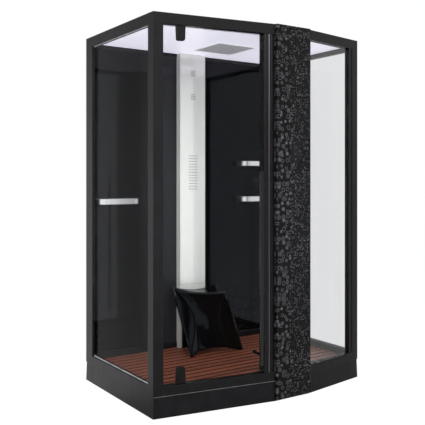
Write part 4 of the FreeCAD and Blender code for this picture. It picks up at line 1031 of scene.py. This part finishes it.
@dataclass
class FrameSet:
    """Posts, rails, the strike profile with its bright cap, and the beads on the tray's rim, which are a
    painted highlight and a painted shade line.
    """

    cabin: Cabin
    rib_along: float = 0.7165
    rib_back: float = 0.009
    rib_radius: float = 0.0076
    rib_skin: float = 0.0012
    rib_short: float = 0.001
    bead_tall: float = 0.002
    bead_deep: float = 0.0016
    bead_proud: float = 0.0012
    bead_ends: tuple[float, float] = (0.7515, 0.5045)

    def build(self) -> None:
        """Dresses the frame and adds its cap and beads."""
        posts = [f"post_{row}_{side}" for row in ("front", "rear") for side in ("left", "right")]
        sides = ("left", "right", "back", "door", "side")
        rails = [f"rail_{row}_{side}" for row in ("top", "low") for side in sides]
        self.cabin.dress(FRAME_BLACK, *posts, *rails, "jamb_side")
        self.cabin.dress(STRIKE_BLACK, "strike_profile")
        self.cap()
        self.beads()

    def cap(self) -> None:
        """A bright half-round cap on the strike profile's outer rib.

        Formula: half a circle about the rib's axis and a second one inside it, carried up the
        profile's height.
        """
        low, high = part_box("strike_profile")
        turn = np.linspace(math.pi, 2.0 * math.pi, 13)
        middle = self.cabin.door_point(self.rib_along, self.rib_back)
        along, back = self.cabin.door_axes()
        way = np.cos(turn)[:, None] * along + np.sin(turn)[:, None] * back
        inner = self.rib_radius - self.rib_skin
        ring = np.vstack((middle + self.rib_radius * way, middle + inner * way[::-1]))
        levels = (low[2] + self.rib_short, high[2] - self.rib_short)
        points = np.vstack([ring + [0.0, 0.0, level] for level in levels])
        count = len(ring)
        number = np.arange(len(turn) - 1)
        ends = np.stack((number, number + 1, count - 2 - number, count - 1 - number), -1)
        faces = np.vstack((sheet_faces(2, count, True), ends, ends[:, ::-1] + count))
        surface("strike_trim", points, faces, Wear(TRIM_GREY, "strike_black"))

    def beads(self) -> None:
        """A thin bead where the lower rail sits on the tray: pale as a painted highlight by the door, dark as
        a painted shade line by the side.

        Formula: a small square section carried along the door's line, and mirrored for the side.
        """
        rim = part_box("tray")[1][2]
        up = np.array([0.0, 0.0, self.bead_tall])
        inward = self.cabin.door_axes()[1] * self.bead_deep
        labels = ("seam_glint_door", "seam_shade_side")
        # The door's bead is a painted highlight, and the side's is a painted shade line at the seam.
        for name, end, sign, finish in zip(labels, self.bead_ends, (1.0, -1.0), (SEAM_GLINT_GREY, SEAM_SHADE_DARK)):
            path = np.array([self.cabin.door_point(along, -self.bead_proud) for along in (SKIN_GAP, end)])
            path[:, 2] = rim - 0.5 * self.bead_tall
            section = np.array([0.0 * up, up, up + inward, inward])
            points = carry(path, section) * [sign, 1.0, 1.0]
            faces = np.vstack((sheet_faces(2, 4, True), end_faces(2)))
            surface(name, points, faces, Wear(finish, "frame_black"))


@dataclass
class Glazing:
    """Fixed panes, and a pale strip round each side pane that is a painted highlight of the glass edge."""

    cabin: Cabin
    bead: float = 0.0055
    proud: float = 0.0045
    inset: float = 0.0112
    low_inset: float = 0.0117

    def build(self) -> None:
        """Dresses the panes and runs a pale painted highlight strip round each side pane."""
        self.cabin.dress(LEFT_GLASS, "pane_left")
        self.cabin.dress(RIGHT_GLASS, "pane_right")
        self.cabin.dress(SIDE_GLASS, "pane_side")
        for side, out in (("left", -1.0), ("right", 1.0)):
            self.glint_strip(side, out)

    def glint_strip(self, side: str, out: float) -> None:
        """A pale strip on the outer face of a side pane, a painted highlight of the glass edge.

        Formula: a square section that goes round the opening, the inset within the pane's edges.

        Args:
            side: the pane's side, left or right.
            out: the way that its outer face looks along X.
        """
        pane = "pane_" + side
        low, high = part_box(pane)
        x = high[0] if out > 0 else low[0]
        y0, y1 = low[1] + self.inset, high[1] - self.inset
        z0, z1 = low[2] + self.low_inset, high[2] - self.inset
        outer = np.array([[y0, z0], [y1, z0], [y1, z1], [y0, z1]])
        inner = outer + self.bead * np.array([[1.0, 1.0], [-1.0, 1.0], [-1.0, -1.0], [1.0, -1.0]])
        near, far = x + out * SKIN_GAP, x + out * self.proud
        rings = ((near, outer), (far, outer), (far, inner), (near, inner))
        points = np.vstack([np.column_stack((np.full(4, at), corners)) for at, corners in rings])
        closing = [[12 + i, 12 + (i + 1) % 4, (i + 1) % 4, i] for i in range(4)]
        faces = np.vstack((sheet_faces(4, 4, True), closing))
        # The strip is a painted highlight of the glass edge.
        surface("bead_" + side, points, faces, Wear(GLINT_STRIP_PALE, "seal_clear"))


@dataclass
class Door:
    """The pivot door: glass, clamps, seal and handle."""

    cabin: Cabin

    def build(self) -> None:
        """Dresses the door."""
        self.cabin.dress(CLEAR_GLASS, "door_glass")
        self.cabin.dress(CLAMP_BLACK, "door_clamp_top", "door_clamp_low")
        self.cabin.dress(CLEAR_SEAL, "door_seal")
        self.cabin.dress(DARK_CHROME, "handle_bar", "handle_knobs")


@dataclass
class BackWall:
    """Black glass panels, and the bright shower column with its nozzles, slots and black edges, one of them a
    band of painted shade.
    """

    cabin: Cabin
    painted_sheen: tuple[float, float] = (-0.44, -0.16)
    crown: float = 0.005
    nozzle_columns: int = 6
    nozzle_rows: int = 13
    nozzle_low: float = 1.226
    pitch_across: float = 0.012
    pitch_up: float = 0.0192
    nozzle_radius: float = 0.0034
    nozzle_tall: float = 0.0022
    corner: float = 0.013
    apron_top: float = 0.503
    skin: float = 0.0012
    # cover: width of the painted shade band beside the column.
    cover: float = 0.046
    short: float = 0.004
    slot_groups: tuple[float, float] = (2.031, 1.867)
    slot_rows: int = 4
    slot_pitch: float = 0.011
    slot_reach: float = 0.019
    slot_wave: float = 0.0012
    slot_half: float = 0.0014
    slot_proud: float = 0.0007
    slot_sunk: float = 0.0003
    band_gap: float = 0.0003
    band_sunk: float = 0.0004

    def build(self) -> None:
        """Dresses the wall and adds the column's small pieces."""
        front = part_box("back_panel_left")[0][1]
        self.cabin.dress(BACK_GLASS, "back_panel_right")
        # The left panel wears a painted sheen that grows along X towards the column.
        sheen_glass = SheenGlass("back_glass_painted_sheen", BACK_GLASS.colour, *self.painted_sheen, front)
        self.cabin.dress(sheen_glass, "back_panel_left")
        self.cabin.dress(COLUMN_SATIN, "shower_column_upper", "shower_column_lower")
        self.cabin.dress(NOZZLE_BLACK, "body_jets")
        self.nozzles()
        self.slots()
        self.apron()
        self.column_shade_band()

    def middle(self) -> float:
        """The column's middle along X."""
        low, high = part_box("shower_column_upper")
        return 0.5 * (low[0] + high[0])

    def face(self, x: Grid) -> Grid:
        """The column's front face: its ridge is forward of its edges by a straight fall each side."""
        low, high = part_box("shower_column_upper")
        return low[1] + self.crown * np.abs(x - self.middle()) / (0.5 * (high[0] - low[0]))

    def nozzles(self) -> None:
        """Six columns by thirteen rows of rubber nozzles on the column's face."""
        across = (np.arange(self.nozzle_columns) - 0.5 * (self.nozzle_columns - 1)) * self.pitch_across
        up = self.nozzle_low + np.arange(self.nozzle_rows) * self.pitch_up
        x, z = np.meshgrid(self.middle() + across, up)
        centres = np.stack((x, self.face(x) + SKIN_GAP, z), -1).reshape(-1, 3)
        buttons("column_nozzles", centres, self.nozzle_radius, self.nozzle_tall, Plane.FRONT, NOZZLE_WEAR)

    def slots(self) -> None:
        """Two groups of four short waved slots.

        Formula: each slot's centre line is its height plus a sine of two periods; the section
        is a flat 2.8 mm tall and 0.7 mm proud.
        """
        x = self.middle() + np.linspace(-self.slot_reach, self.slot_reach, 25)
        wave = self.slot_wave * np.sin(np.linspace(0.0, 4.0 * np.pi, x.size))
        half, proud, sunk = self.slot_half, -self.slot_proud, self.slot_sunk
        section = np.array([[0, sunk, -half], [0, proud, -half], [0, proud, half], [0, sunk, half]])
        faces = np.vstack((sheet_faces(x.size, 4, True), end_faces(x.size)))
        parts = []
        for group in self.slot_groups:
            for row in range(self.slot_rows):
                z = group + (row - 0.5 * (self.slot_rows - 1)) * self.slot_pitch + wave
                parts.append((carry(np.stack((x, self.face(x), z), -1), section), faces))
        joined("column_slots", parts, NOZZLE_WEAR, smooth=False)

    def apron(self) -> None:
        """A black apron on the column's lower length.

        Formula: the apron follows the column's ridged face at three stations, 1.4 mm thick.
        """
        low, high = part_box("shower_column_lower")
        x = np.array([low[0] + self.corner, 0.5 * (low[0] + high[0]), high[0]])
        front = np.stack((x, self.face(x) - self.skin), -1)
        back = np.stack((x, self.face(x) + SKIN_GAP), -1)[::-1]
        ring = np.vstack((front, back))
        levels = (low[2] + self.short, self.apron_top)
        points = np.vstack([np.column_stack((ring, np.full(len(ring), level))) for level in levels])
        caps = [[0, 1, 4, 5], [1, 2, 3, 4], [11, 10, 7, 6], [10, 9, 8, 7]]
        faces = np.vstack((sheet_faces(2, len(ring), True), caps))
        surface("column_apron", points, faces, Wear(BACK_GLASS, "black_glass"))

    def column_shade_band(self) -> None:
        """A black band beside the column, over the joint of the panels: painted shade that stands for the
        dark reflection of the column's side in the black glass.
        """
        low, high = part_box("back_panel_right")
        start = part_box("shower_column_upper")[1][0]
        points, faces = block(
            (start + self.band_gap, low[1] - self.skin, low[2] + self.short),
            (start + self.cover, low[1] + self.band_sunk, high[2] - self.short),
        )
        surface("column_shade_band", points, faces, Wear(SHADE_BAND_BLACK, "black_glass"))


@dataclass
class Ceiling:
    """The lit ceiling, the rain head with its nozzles, and the roof."""

    cabin: Cabin
    count: int = 11
    side: float = 0.300
    inset: float = 0.022
    nozzle_radius: float = 0.0085
    nozzle_tall: float = 0.003

    def build(self) -> None:
        """Dresses the ceiling and adds the rain nozzles."""
        self.cabin.dress(CEILING_LIT, "ceiling_panel")
        self.cabin.dress(LIGHT_BAR, "light_bars")
        self.cabin.dress(ROOF_WHITE, "roof_cover", "rain_water_box")
        # The rain plate's glow is painted light.
        self.cabin.dress(RAIN_PLATE_PAINTED_GLOW, "rain_head")
        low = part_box("rain_head")[0]
        way = np.linspace(self.inset, self.side - self.inset, self.count)
        x, y = np.meshgrid(low[0] + way, low[1] + way)
        centres = np.stack((x, y, np.full_like(x, low[2] + SKIN_GAP)), -1).reshape(-1, 3)
        buttons("rain_nozzles", centres, self.nozzle_radius, self.nozzle_tall, Plane.DOWN, NOZZLE_WEAR)


@dataclass
class Shelves:
    """Three shelves with bright bands."""

    cabin: Cabin

    def build(self) -> None:
        """Dresses the shelves."""
        self.cabin.dress(BAND_CHROME, "shelf_left", "shelf_right_lower", "shelf_right_upper")


@dataclass
class TechnicalColumn:
    """The column between door and side pane, and what is inside it."""

    cabin: Cabin
    touch_rings: tuple[tuple[float, float], ...] = ((1.484, 0.009), (1.444, 0.006), (1.413, 0.006))
    ring_wide: float = 0.0014
    ring_proud: float = 0.0004

    def build(self) -> None:
        """Dresses the column and its contents."""
        low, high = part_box("column_cover")
        self.cabin.dress(RingPrint("ring_print", low[0], high[0]), "column_cover")
        self.cabin.dress(COLUMN_INSIDE, "column_housing", "column_cap")
        self.cabin.dress(DISPLAY_GLASS, "touch_panel")
        self.cabin.dress(UNIT_GREY, "steam_generator", "power_unit", "valve_block")
        self.touch_marks()

    def touch_marks(self) -> None:
        """Three plain round touch marks on the display, as flat raised rings.

        Formula: each ring is a small square section turned about the mark's centre.
        """
        low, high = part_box("touch_panel")
        turn = np.linspace(0.0, 2.0 * np.pi, 20, endpoint=False)
        last = np.arange(turn.size)
        after = (last + 1) % turn.size
        closing = np.stack((3 * turn.size + last, 3 * turn.size + after, after, last), -1)
        faces = np.vstack((sheet_faces(4, turn.size, True), closing))
        parts = []
        for height, radius in self.touch_rings:
            out = np.array([radius, radius, radius - self.ring_wide, radius - self.ring_wide])[:, None]
            x = 0.5 * (low[0] + high[0]) + out * np.cos(turn)
            z = height + out * np.sin(turn)
            depth = np.array([-self.ring_proud, SKIN_GAP, SKIN_GAP, -self.ring_proud])[:, None]
            y = np.broadcast_to(low[1] + depth, x.shape)
            parts.append((np.stack((x, y, z), -1).reshape(-1, 3), faces))
        joined("display_marks", parts, Wear(DISPLAY_MARK, "display_glass"), smooth=True)


@dataclass
class Controls:
    """The mixer knob, its plate and the steam outlet."""

    cabin: Cabin

    def build(self) -> None:
        """Dresses the controls."""
        self.cabin.dress(CHROME, "control_plate", "control_knob", "steam_outlet")


@dataclass
class Deck:
    """The slatted deck and its bearers."""

    cabin: Cabin
    round_over: float = 0.002
    sharp: float = math.radians(35)
    pitch: float = 0.0615
    first_gap: float = 0.0465
    dark: Colour = (0.19, 0.056, 0.032)
    light: Colour = (0.33, 0.108, 0.062)

    def build(self) -> None:
        """Copies the boards, rounds their edges and gives them grain."""
        board = copy_of(self.cabin.frame["nodes"]["deck_slats"], "deck_boards")
        start = self.cabin.origin[1] + self.first_gap
        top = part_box("deck_slats")[1][2]
        timber = Timber("oiled_hardwood", self.dark, self.light, self.pitch, start, top)
        board.data.materials.append(timber.material())
        self.round_edges(board)
        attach(board, Body.DECK.value)
        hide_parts("deck_slats")
        self.cabin.dress(BEARER_BLACK, "deck_bearers")

    def round_edges(self, piece: bpy.types.Object) -> None:
        """Rounds a piece's sharp edges.

        Args:
            piece: the piece to round.
        """
        bevel = piece.modifiers.new("Bevel", "BEVEL")
        bevel.width = self.round_over
        bevel.segments = 2
        bevel.limit_method = "ANGLE"
        bevel.angle_limit = self.sharp
        bevel.harden_normals = False


@dataclass
class Seat:
    """The gloss seat: three ridges that twist from the feet to the rim."""

    cabin: Cabin
    centre: Place = (0.780, 0.615, 0.0)
    tall: float = 0.434
    floor: float = 0.131
    floor_gap: float = 0.0003
    dish: float = 0.030
    arch: float = 0.030
    reach: float = 0.205
    ridge: float = 0.003
    ridge_way: float = 0.02
    skin: float = 0.010
    feet: tuple[tuple[float, float], ...] = ((-0.195, -0.070), (0.205, -0.083), (-0.010, 0.153))
    rim: tuple[tuple[float, float], ...] = ((-0.222, 0.127), (-0.008, -0.185), (0.148, 0.137))
    heights: tuple[float, ...] = (0.0, 0.3, 0.6, 0.85, 1.0)
    draws: tuple[float, ...] = (0.42, 0.54, 0.52, 0.36, 0.14)
    keen: float = 2.8
    steps: int = 32
    rows: int = 25
    inward: tuple[float, ...] = (0.985, 0.96, 0.90, 0.80, 0.66, 0.5, 0.33, 0.16, 0.05)
    settled: float = 0.04

    def outline(self, share: Grid, way: Grid) -> tuple[Grid, Grid]:
        """Points of the skin.

        Formula: each corner goes straight from its foot to its place on the rim with the share
        of the height. Between two corners the line is the chord, pulled to the middle by the
        draw at that height, times one less a power of the way from the chord's middle. Close to
        a corner it is shortened by the ridge, as a bell curve of the way.

        Args:
            share: share of the height, one for each point.
            way: way round, from 0 to 3, one for each point.

        Returns:
            Plan X and Y from the seat's centre.
        """
        feet, rim = np.array(self.feet), np.array(self.rim)
        corners = feet[:, None, None, :] + (rim - feet)[:, None, None, :] * share[None, :, :, None]
        middle = corners.mean(axis=0)
        first = np.floor(way).astype(int) % 3
        part = way - np.floor(way)
        rows, columns = np.indices(share.shape)
        a = corners[first, rows, columns]
        b = corners[(first + 1) % 3, rows, columns]
        draw = np.interp(share, self.heights, self.draws)
        pull = 1.0 - np.abs(2.0 * part - 1.0) ** self.keen
        line = a + (b - a) * part[..., None] - (0.5 * (a + b) - middle) * (draw * pull)[..., None]
        out = line - middle
        length = np.linalg.norm(out, axis=-1)
        near = np.minimum(part, 1.0 - part)
        shorten = self.ridge * np.exp(-((near / self.ridge_way) ** 2))
        line = middle + out * ((length - shorten) / length)[..., None]
        return line[..., 0], line[..., 1]

    def dish_height(self, plan: Grid) -> Grid:
        """Height of the top's shallow bowl, by the square of the way from the rim's middle."""
        away = ((plan - np.array(self.rim).mean(axis=0)) ** 2).sum(axis=-1)
        return self.tall - self.dish + away / (self.reach**2 / self.dish)

    def skin_rows(self, way: Grid) -> Grid:
        """Rows of the outside.

        Formula: every column of points runs in equal steps from the arch between the feet, a
        parabola of the way, to the dished rim.

        Args:
            way: way round, from 0 to 3, for each column.

        Returns:
            Points by row and column, from the seat's centre.
        """
        turn = way - np.floor(way)
        low = (self.arch * 4.0 * turn * (1.0 - turn))[None, :] / self.tall
        edge = np.stack(self.outline(np.ones((1, way.size)), way[None, :]), -1)
        top = np.minimum(self.dish_height(edge), self.tall) / self.tall
        share = low + (top - low) * np.linspace(0.0, 1.0, self.rows)[:, None]
        x, y = self.outline(share, np.broadcast_to(way[None, :], share.shape))
        return np.stack((x, y, share * self.tall), -1)

    def top_rows(self, edge: Grid) -> Grid:
        """Rows of the dished top.

        Formula: copies of the rim shrunk to its middle, at the bowl's height, and settled from
        the rim's own height over the first twenty-fifth of the way in.

        Args:
            edge: the skin's last row.

        Returns:
            Points by row and column.
        """
        inward = np.array(self.inward)[:, None]
        middle = np.array(self.rim).mean(axis=0)
        plan = middle + (edge[None, :, :2] - middle) * inward[..., None]
        settle = np.clip((1.0 - inward) / self.settled, 0.0, 1.0)
        rim = edge[None, :, 2]
        height = np.minimum(rim, self.dish_height(plan)) * settle + rim * (1.0 - settle)
        return np.concatenate((plan, height[..., None]), -1)

    def build(self) -> None:
        """Makes the skin, the dished top and the wall's thickness."""
        part = 0.5 - 0.5 * np.cos(np.linspace(0.0, np.pi, self.steps + 1))[:-1]
        way = np.concatenate([number + part for number in range(3)])
        skin = self.skin_rows(way)
        grid = np.concatenate((skin, self.top_rows(skin[-1])), 0)
        pole = [*np.array(self.rim).mean(axis=0), self.tall - self.dish]
        base = np.array(self.cabin.origin) + self.centre + [0.0, 0.0, self.floor + self.floor_gap]
        points = np.vstack((grid.reshape(-1, 3), pole)) + base
        number = np.arange(way.size)
        first = (len(grid) - 1) * way.size
        tip = np.full(way.size, len(points) - 1)
        fan = np.stack((first + number, first + (number + 1) % way.size, tip, tip), -1)
        faces = np.vstack((sheet_faces(len(grid), way.size, True), fan))
        piece = surface("seat_shell", points, faces, Wear(SEAT_GLOSS, "seat_black", Body.SEAT), smooth=True)
        wall = piece.modifiers.new("Wall", "SOLIDIFY")
        wall.thickness = self.skin
        wall.offset = -1.0
        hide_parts("seat")


# ---------------------------------------------------------------- studio


@dataclass(frozen=True)
class Lamp:
    """A soft square lamp that looks at a target and isn't mirrored."""

    name: str
    place: Place
    target: Place
    side: float
    power: float
    spread: float = 180.0

    def build(self) -> None:
        """Hangs the lamp."""
        data = bpy.data.lights.new(self.name, "AREA")
        data.shape = "SQUARE"
        data.size = self.side
        data.energy = self.power
        data.spread = math.radians(self.spread)
        lamp = bpy.data.objects.new(self.name, data)
        lamp.location = self.place
        aim = Vector(self.target) - Vector(self.place)
        lamp.rotation_euler = aim.to_track_quat("-Z", "Y").to_euler()
        lamp.visible_glossy = False
        lamp.visible_transmission = False
        bpy.context.scene.collection.objects.link(lamp)


@dataclass
class Studio:
    """Camera, floor, lamps and world.

    The three rings of cards are what glossy rays see at the horizon, above it and high up. Each
    card is a bearing in degrees, from -Y towards +X, and a brightness.
    """

    eye: Place = (-2.5338, -3.5971, 1.2953)
    turn: float = -33.867
    lens: float = 57.893
    sensor: float = 36.0
    shift: float = -0.0787
    white: float = 1.0
    fill: float = 0.62
    fade: tuple[float, float] = (0.0, 0.35)
    high_band: tuple[float, float] = (0.06, 0.27)
    low_cards: tuple[Card, ...] = (
        (-180.0, 0.95), (-120.0, 0.95), (-75.0, 0.35), (45.0, 0.4), (80.0, 0.55), (140.0, 0.6), (180.0, 0.95),
    )
    cards: tuple[Card, ...] = (
        (-180.0, 0.45), (-135.0, 0.45), (-112.0, 0.8), (-62.0, 0.9), (-44.0, 0.05), (20.0, 0.05),
        (26.0, 1.0), (140.0, 1.0), (180.0, 0.45),
    )
    high_cards: tuple[Card, ...] = (
        (-180.0, 0.4), (-110.0, 0.4), (-60.0, 1.7), (8.0, 1.9), (30.0, 0.7), (150.0, 0.8), (180.0, 0.5),
    )
    floor_low: Place = (-14.0, -14.0, -0.02)
    floor_high: Place = (14.0, 30.0, -0.0005)
    floor_glow: float = 1.05
    floor_share: float = 0.90
    lamps: tuple[Lamp, ...] = (
        Lamp("lamp_key", (-3.8, -3.4, 3.6), (0.0, 0.0, 0.9), 2.8, 70.0),
        Lamp("lamp_side", (3.4, -3.6, 2.6), (0.2, 0.0, 1.0), 2.4, 35.0),
        Lamp("lamp_top", (0.0, -0.4, 5.2), (0.0, 0.0, 0.0), 3.4, 60.0),
        Lamp("lamp_column", (-0.95, -2.6, 1.3), (-0.2, 0.5, 1.05), 0.9, 3.9, 42.0),
    )

    def build(self) -> None:
        """Sets up the whole studio."""
        self.camera()
        self.world()
        self.floor()
        for lamp in self.lamps:
            lamp.build()
        bpy.context.scene.view_settings.view_transform = "Standard"

    def camera(self) -> None:
        """The photograph's point of view."""
        data = bpy.data.cameras.new("camera")
        data.lens = self.lens
        data.sensor_width = self.sensor
        data.shift_y = self.shift
        camera = bpy.data.objects.new("camera", data)
        camera.location = self.eye
        camera.rotation_euler = (math.radians(90.0), 0.0, math.radians(self.turn))
        bpy.context.scene.collection.objects.link(camera)
        bpy.context.scene.camera = camera

    def card_ring(self, graph: Graph, x: Any, y: Any, table: Sequence[Card]) -> bpy.types.NodeSocket:
        """Brightness by the way round.

        Args:
            graph: the graph to add to.
            x: the direction's X.
            y: the direction's Y.
            table: the cards, in order of bearing.

        Returns:
            The level at that bearing.
        """
        bearing = graph.math("ARCTAN2", x, graph.times(y, -1.0))
        share = graph.add("MapRange", {0: bearing, 1: -math.pi, 2: math.pi, 3: 0.0, 4: 1.0}).outputs[0]
        node = graph.add("ValToRGB", {0: share})
        ramp = node.color_ramp
        ramp.interpolation = "EASE"
        ramp.elements.remove(ramp.elements[-1])
        for number, (degrees, level) in enumerate(table):
            place = (degrees + 180.0) / 360.0
            stop = ramp.elements[0] if number == 0 else ramp.elements.new(place)
            stop.position = place
            stop.color = (0.5 * level, 0.5 * level, 0.5 * level, 1.0)
        return graph.times(node.outputs[0], 2.0)

    def world(self) -> None:
        """White for what looks straight at it, cards for what mirrors it, softer for what it lights."""
        world = bpy.data.worlds.new("studio")
        world.use_nodes = True
        bpy.context.scene.world = world
        graph = Graph(world.node_tree)
        direct, seen = graph.looks()
        x, y, z = graph.axes(graph.add("TexCoord").outputs["Generated"])
        ground, near, far = (
            self.card_ring(graph, x, y, table) for table in (self.low_cards, self.cards, self.high_cards)
        )
        cards = graph.mix(graph.span(z, *self.fade, 0.0, 1.0), ground, near)
        cards = graph.mix(graph.span(z, *self.high_band, 0.0, 1.0), cards, far)
        lit = graph.times(graph.mix(seen, self.fill, self.white), cards)
        background = world.node_tree.nodes["Background"]
        background.inputs["Color"].default_value = (*WHITE, 1.0)
        graph.feed(background.inputs["Strength"], graph.mix(direct, lit, self.white))

    def floor(self) -> None:
        """A pale floor that stays white round the object and keeps its shadow."""
        points, faces = block(self.floor_low, self.floor_high)
        mesh = bpy.data.meshes.new("floor")
        mesh.from_pydata(points.tolist(), [], faces.tolist())
        floor = bpy.data.objects.new("floor", mesh)
        bpy.context.scene.collection.objects.link(floor)
        material = bpy.data.materials.new("floor_white")
        material.use_nodes = True
        graph = Graph(material.node_tree)
        shader = material.node_tree.nodes["Principled BSDF"]
        hold(shader, Base_Color=(0.9, 0.9, 0.9, 1.0), Roughness=0.9, Specular_IOR_Level=0.0)
        direct, seen = graph.looks()
        x, y, _ = graph.axes(graph.place())
        bright = graph.mix(direct, self.card_ring(graph, x, y, self.low_cards), self.floor_glow)
        glow = graph.add("Emission", {0: (*WHITE, 1.0), 1: bright})
        share = graph.times(seen, self.floor_share)
        both = graph.add("MixShader", {0: share, 1: shader.outputs[0], 2: glow.outputs[0]})
        graph.feed(material.node_tree.nodes["Material Output"].inputs[0], both.outputs[0])
        mesh.materials.append(material)


ASSEMBLIES = (
    TraySet, FrameSet, Glazing, Door, BackWall, Ceiling, Shelves, TechnicalColumn, Controls, Deck, Seat,
)


def main() -> None:
    """Loads the frame and dresses every sub-assembly."""
    logging.basicConfig(level=logging.INFO, format="%(message)s")
    for thing in list(bpy.data.objects):
        bpy.data.objects.remove(thing)
    cabin = Cabin(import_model())
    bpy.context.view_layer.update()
    Studio().build()
    for assembly in ASSEMBLIES:
        LOG.info("building %s", assembly.__name__)
        assembly(cabin).build()
    bpy.context.view_layer.update()


if __name__ == "__main__":
    main()
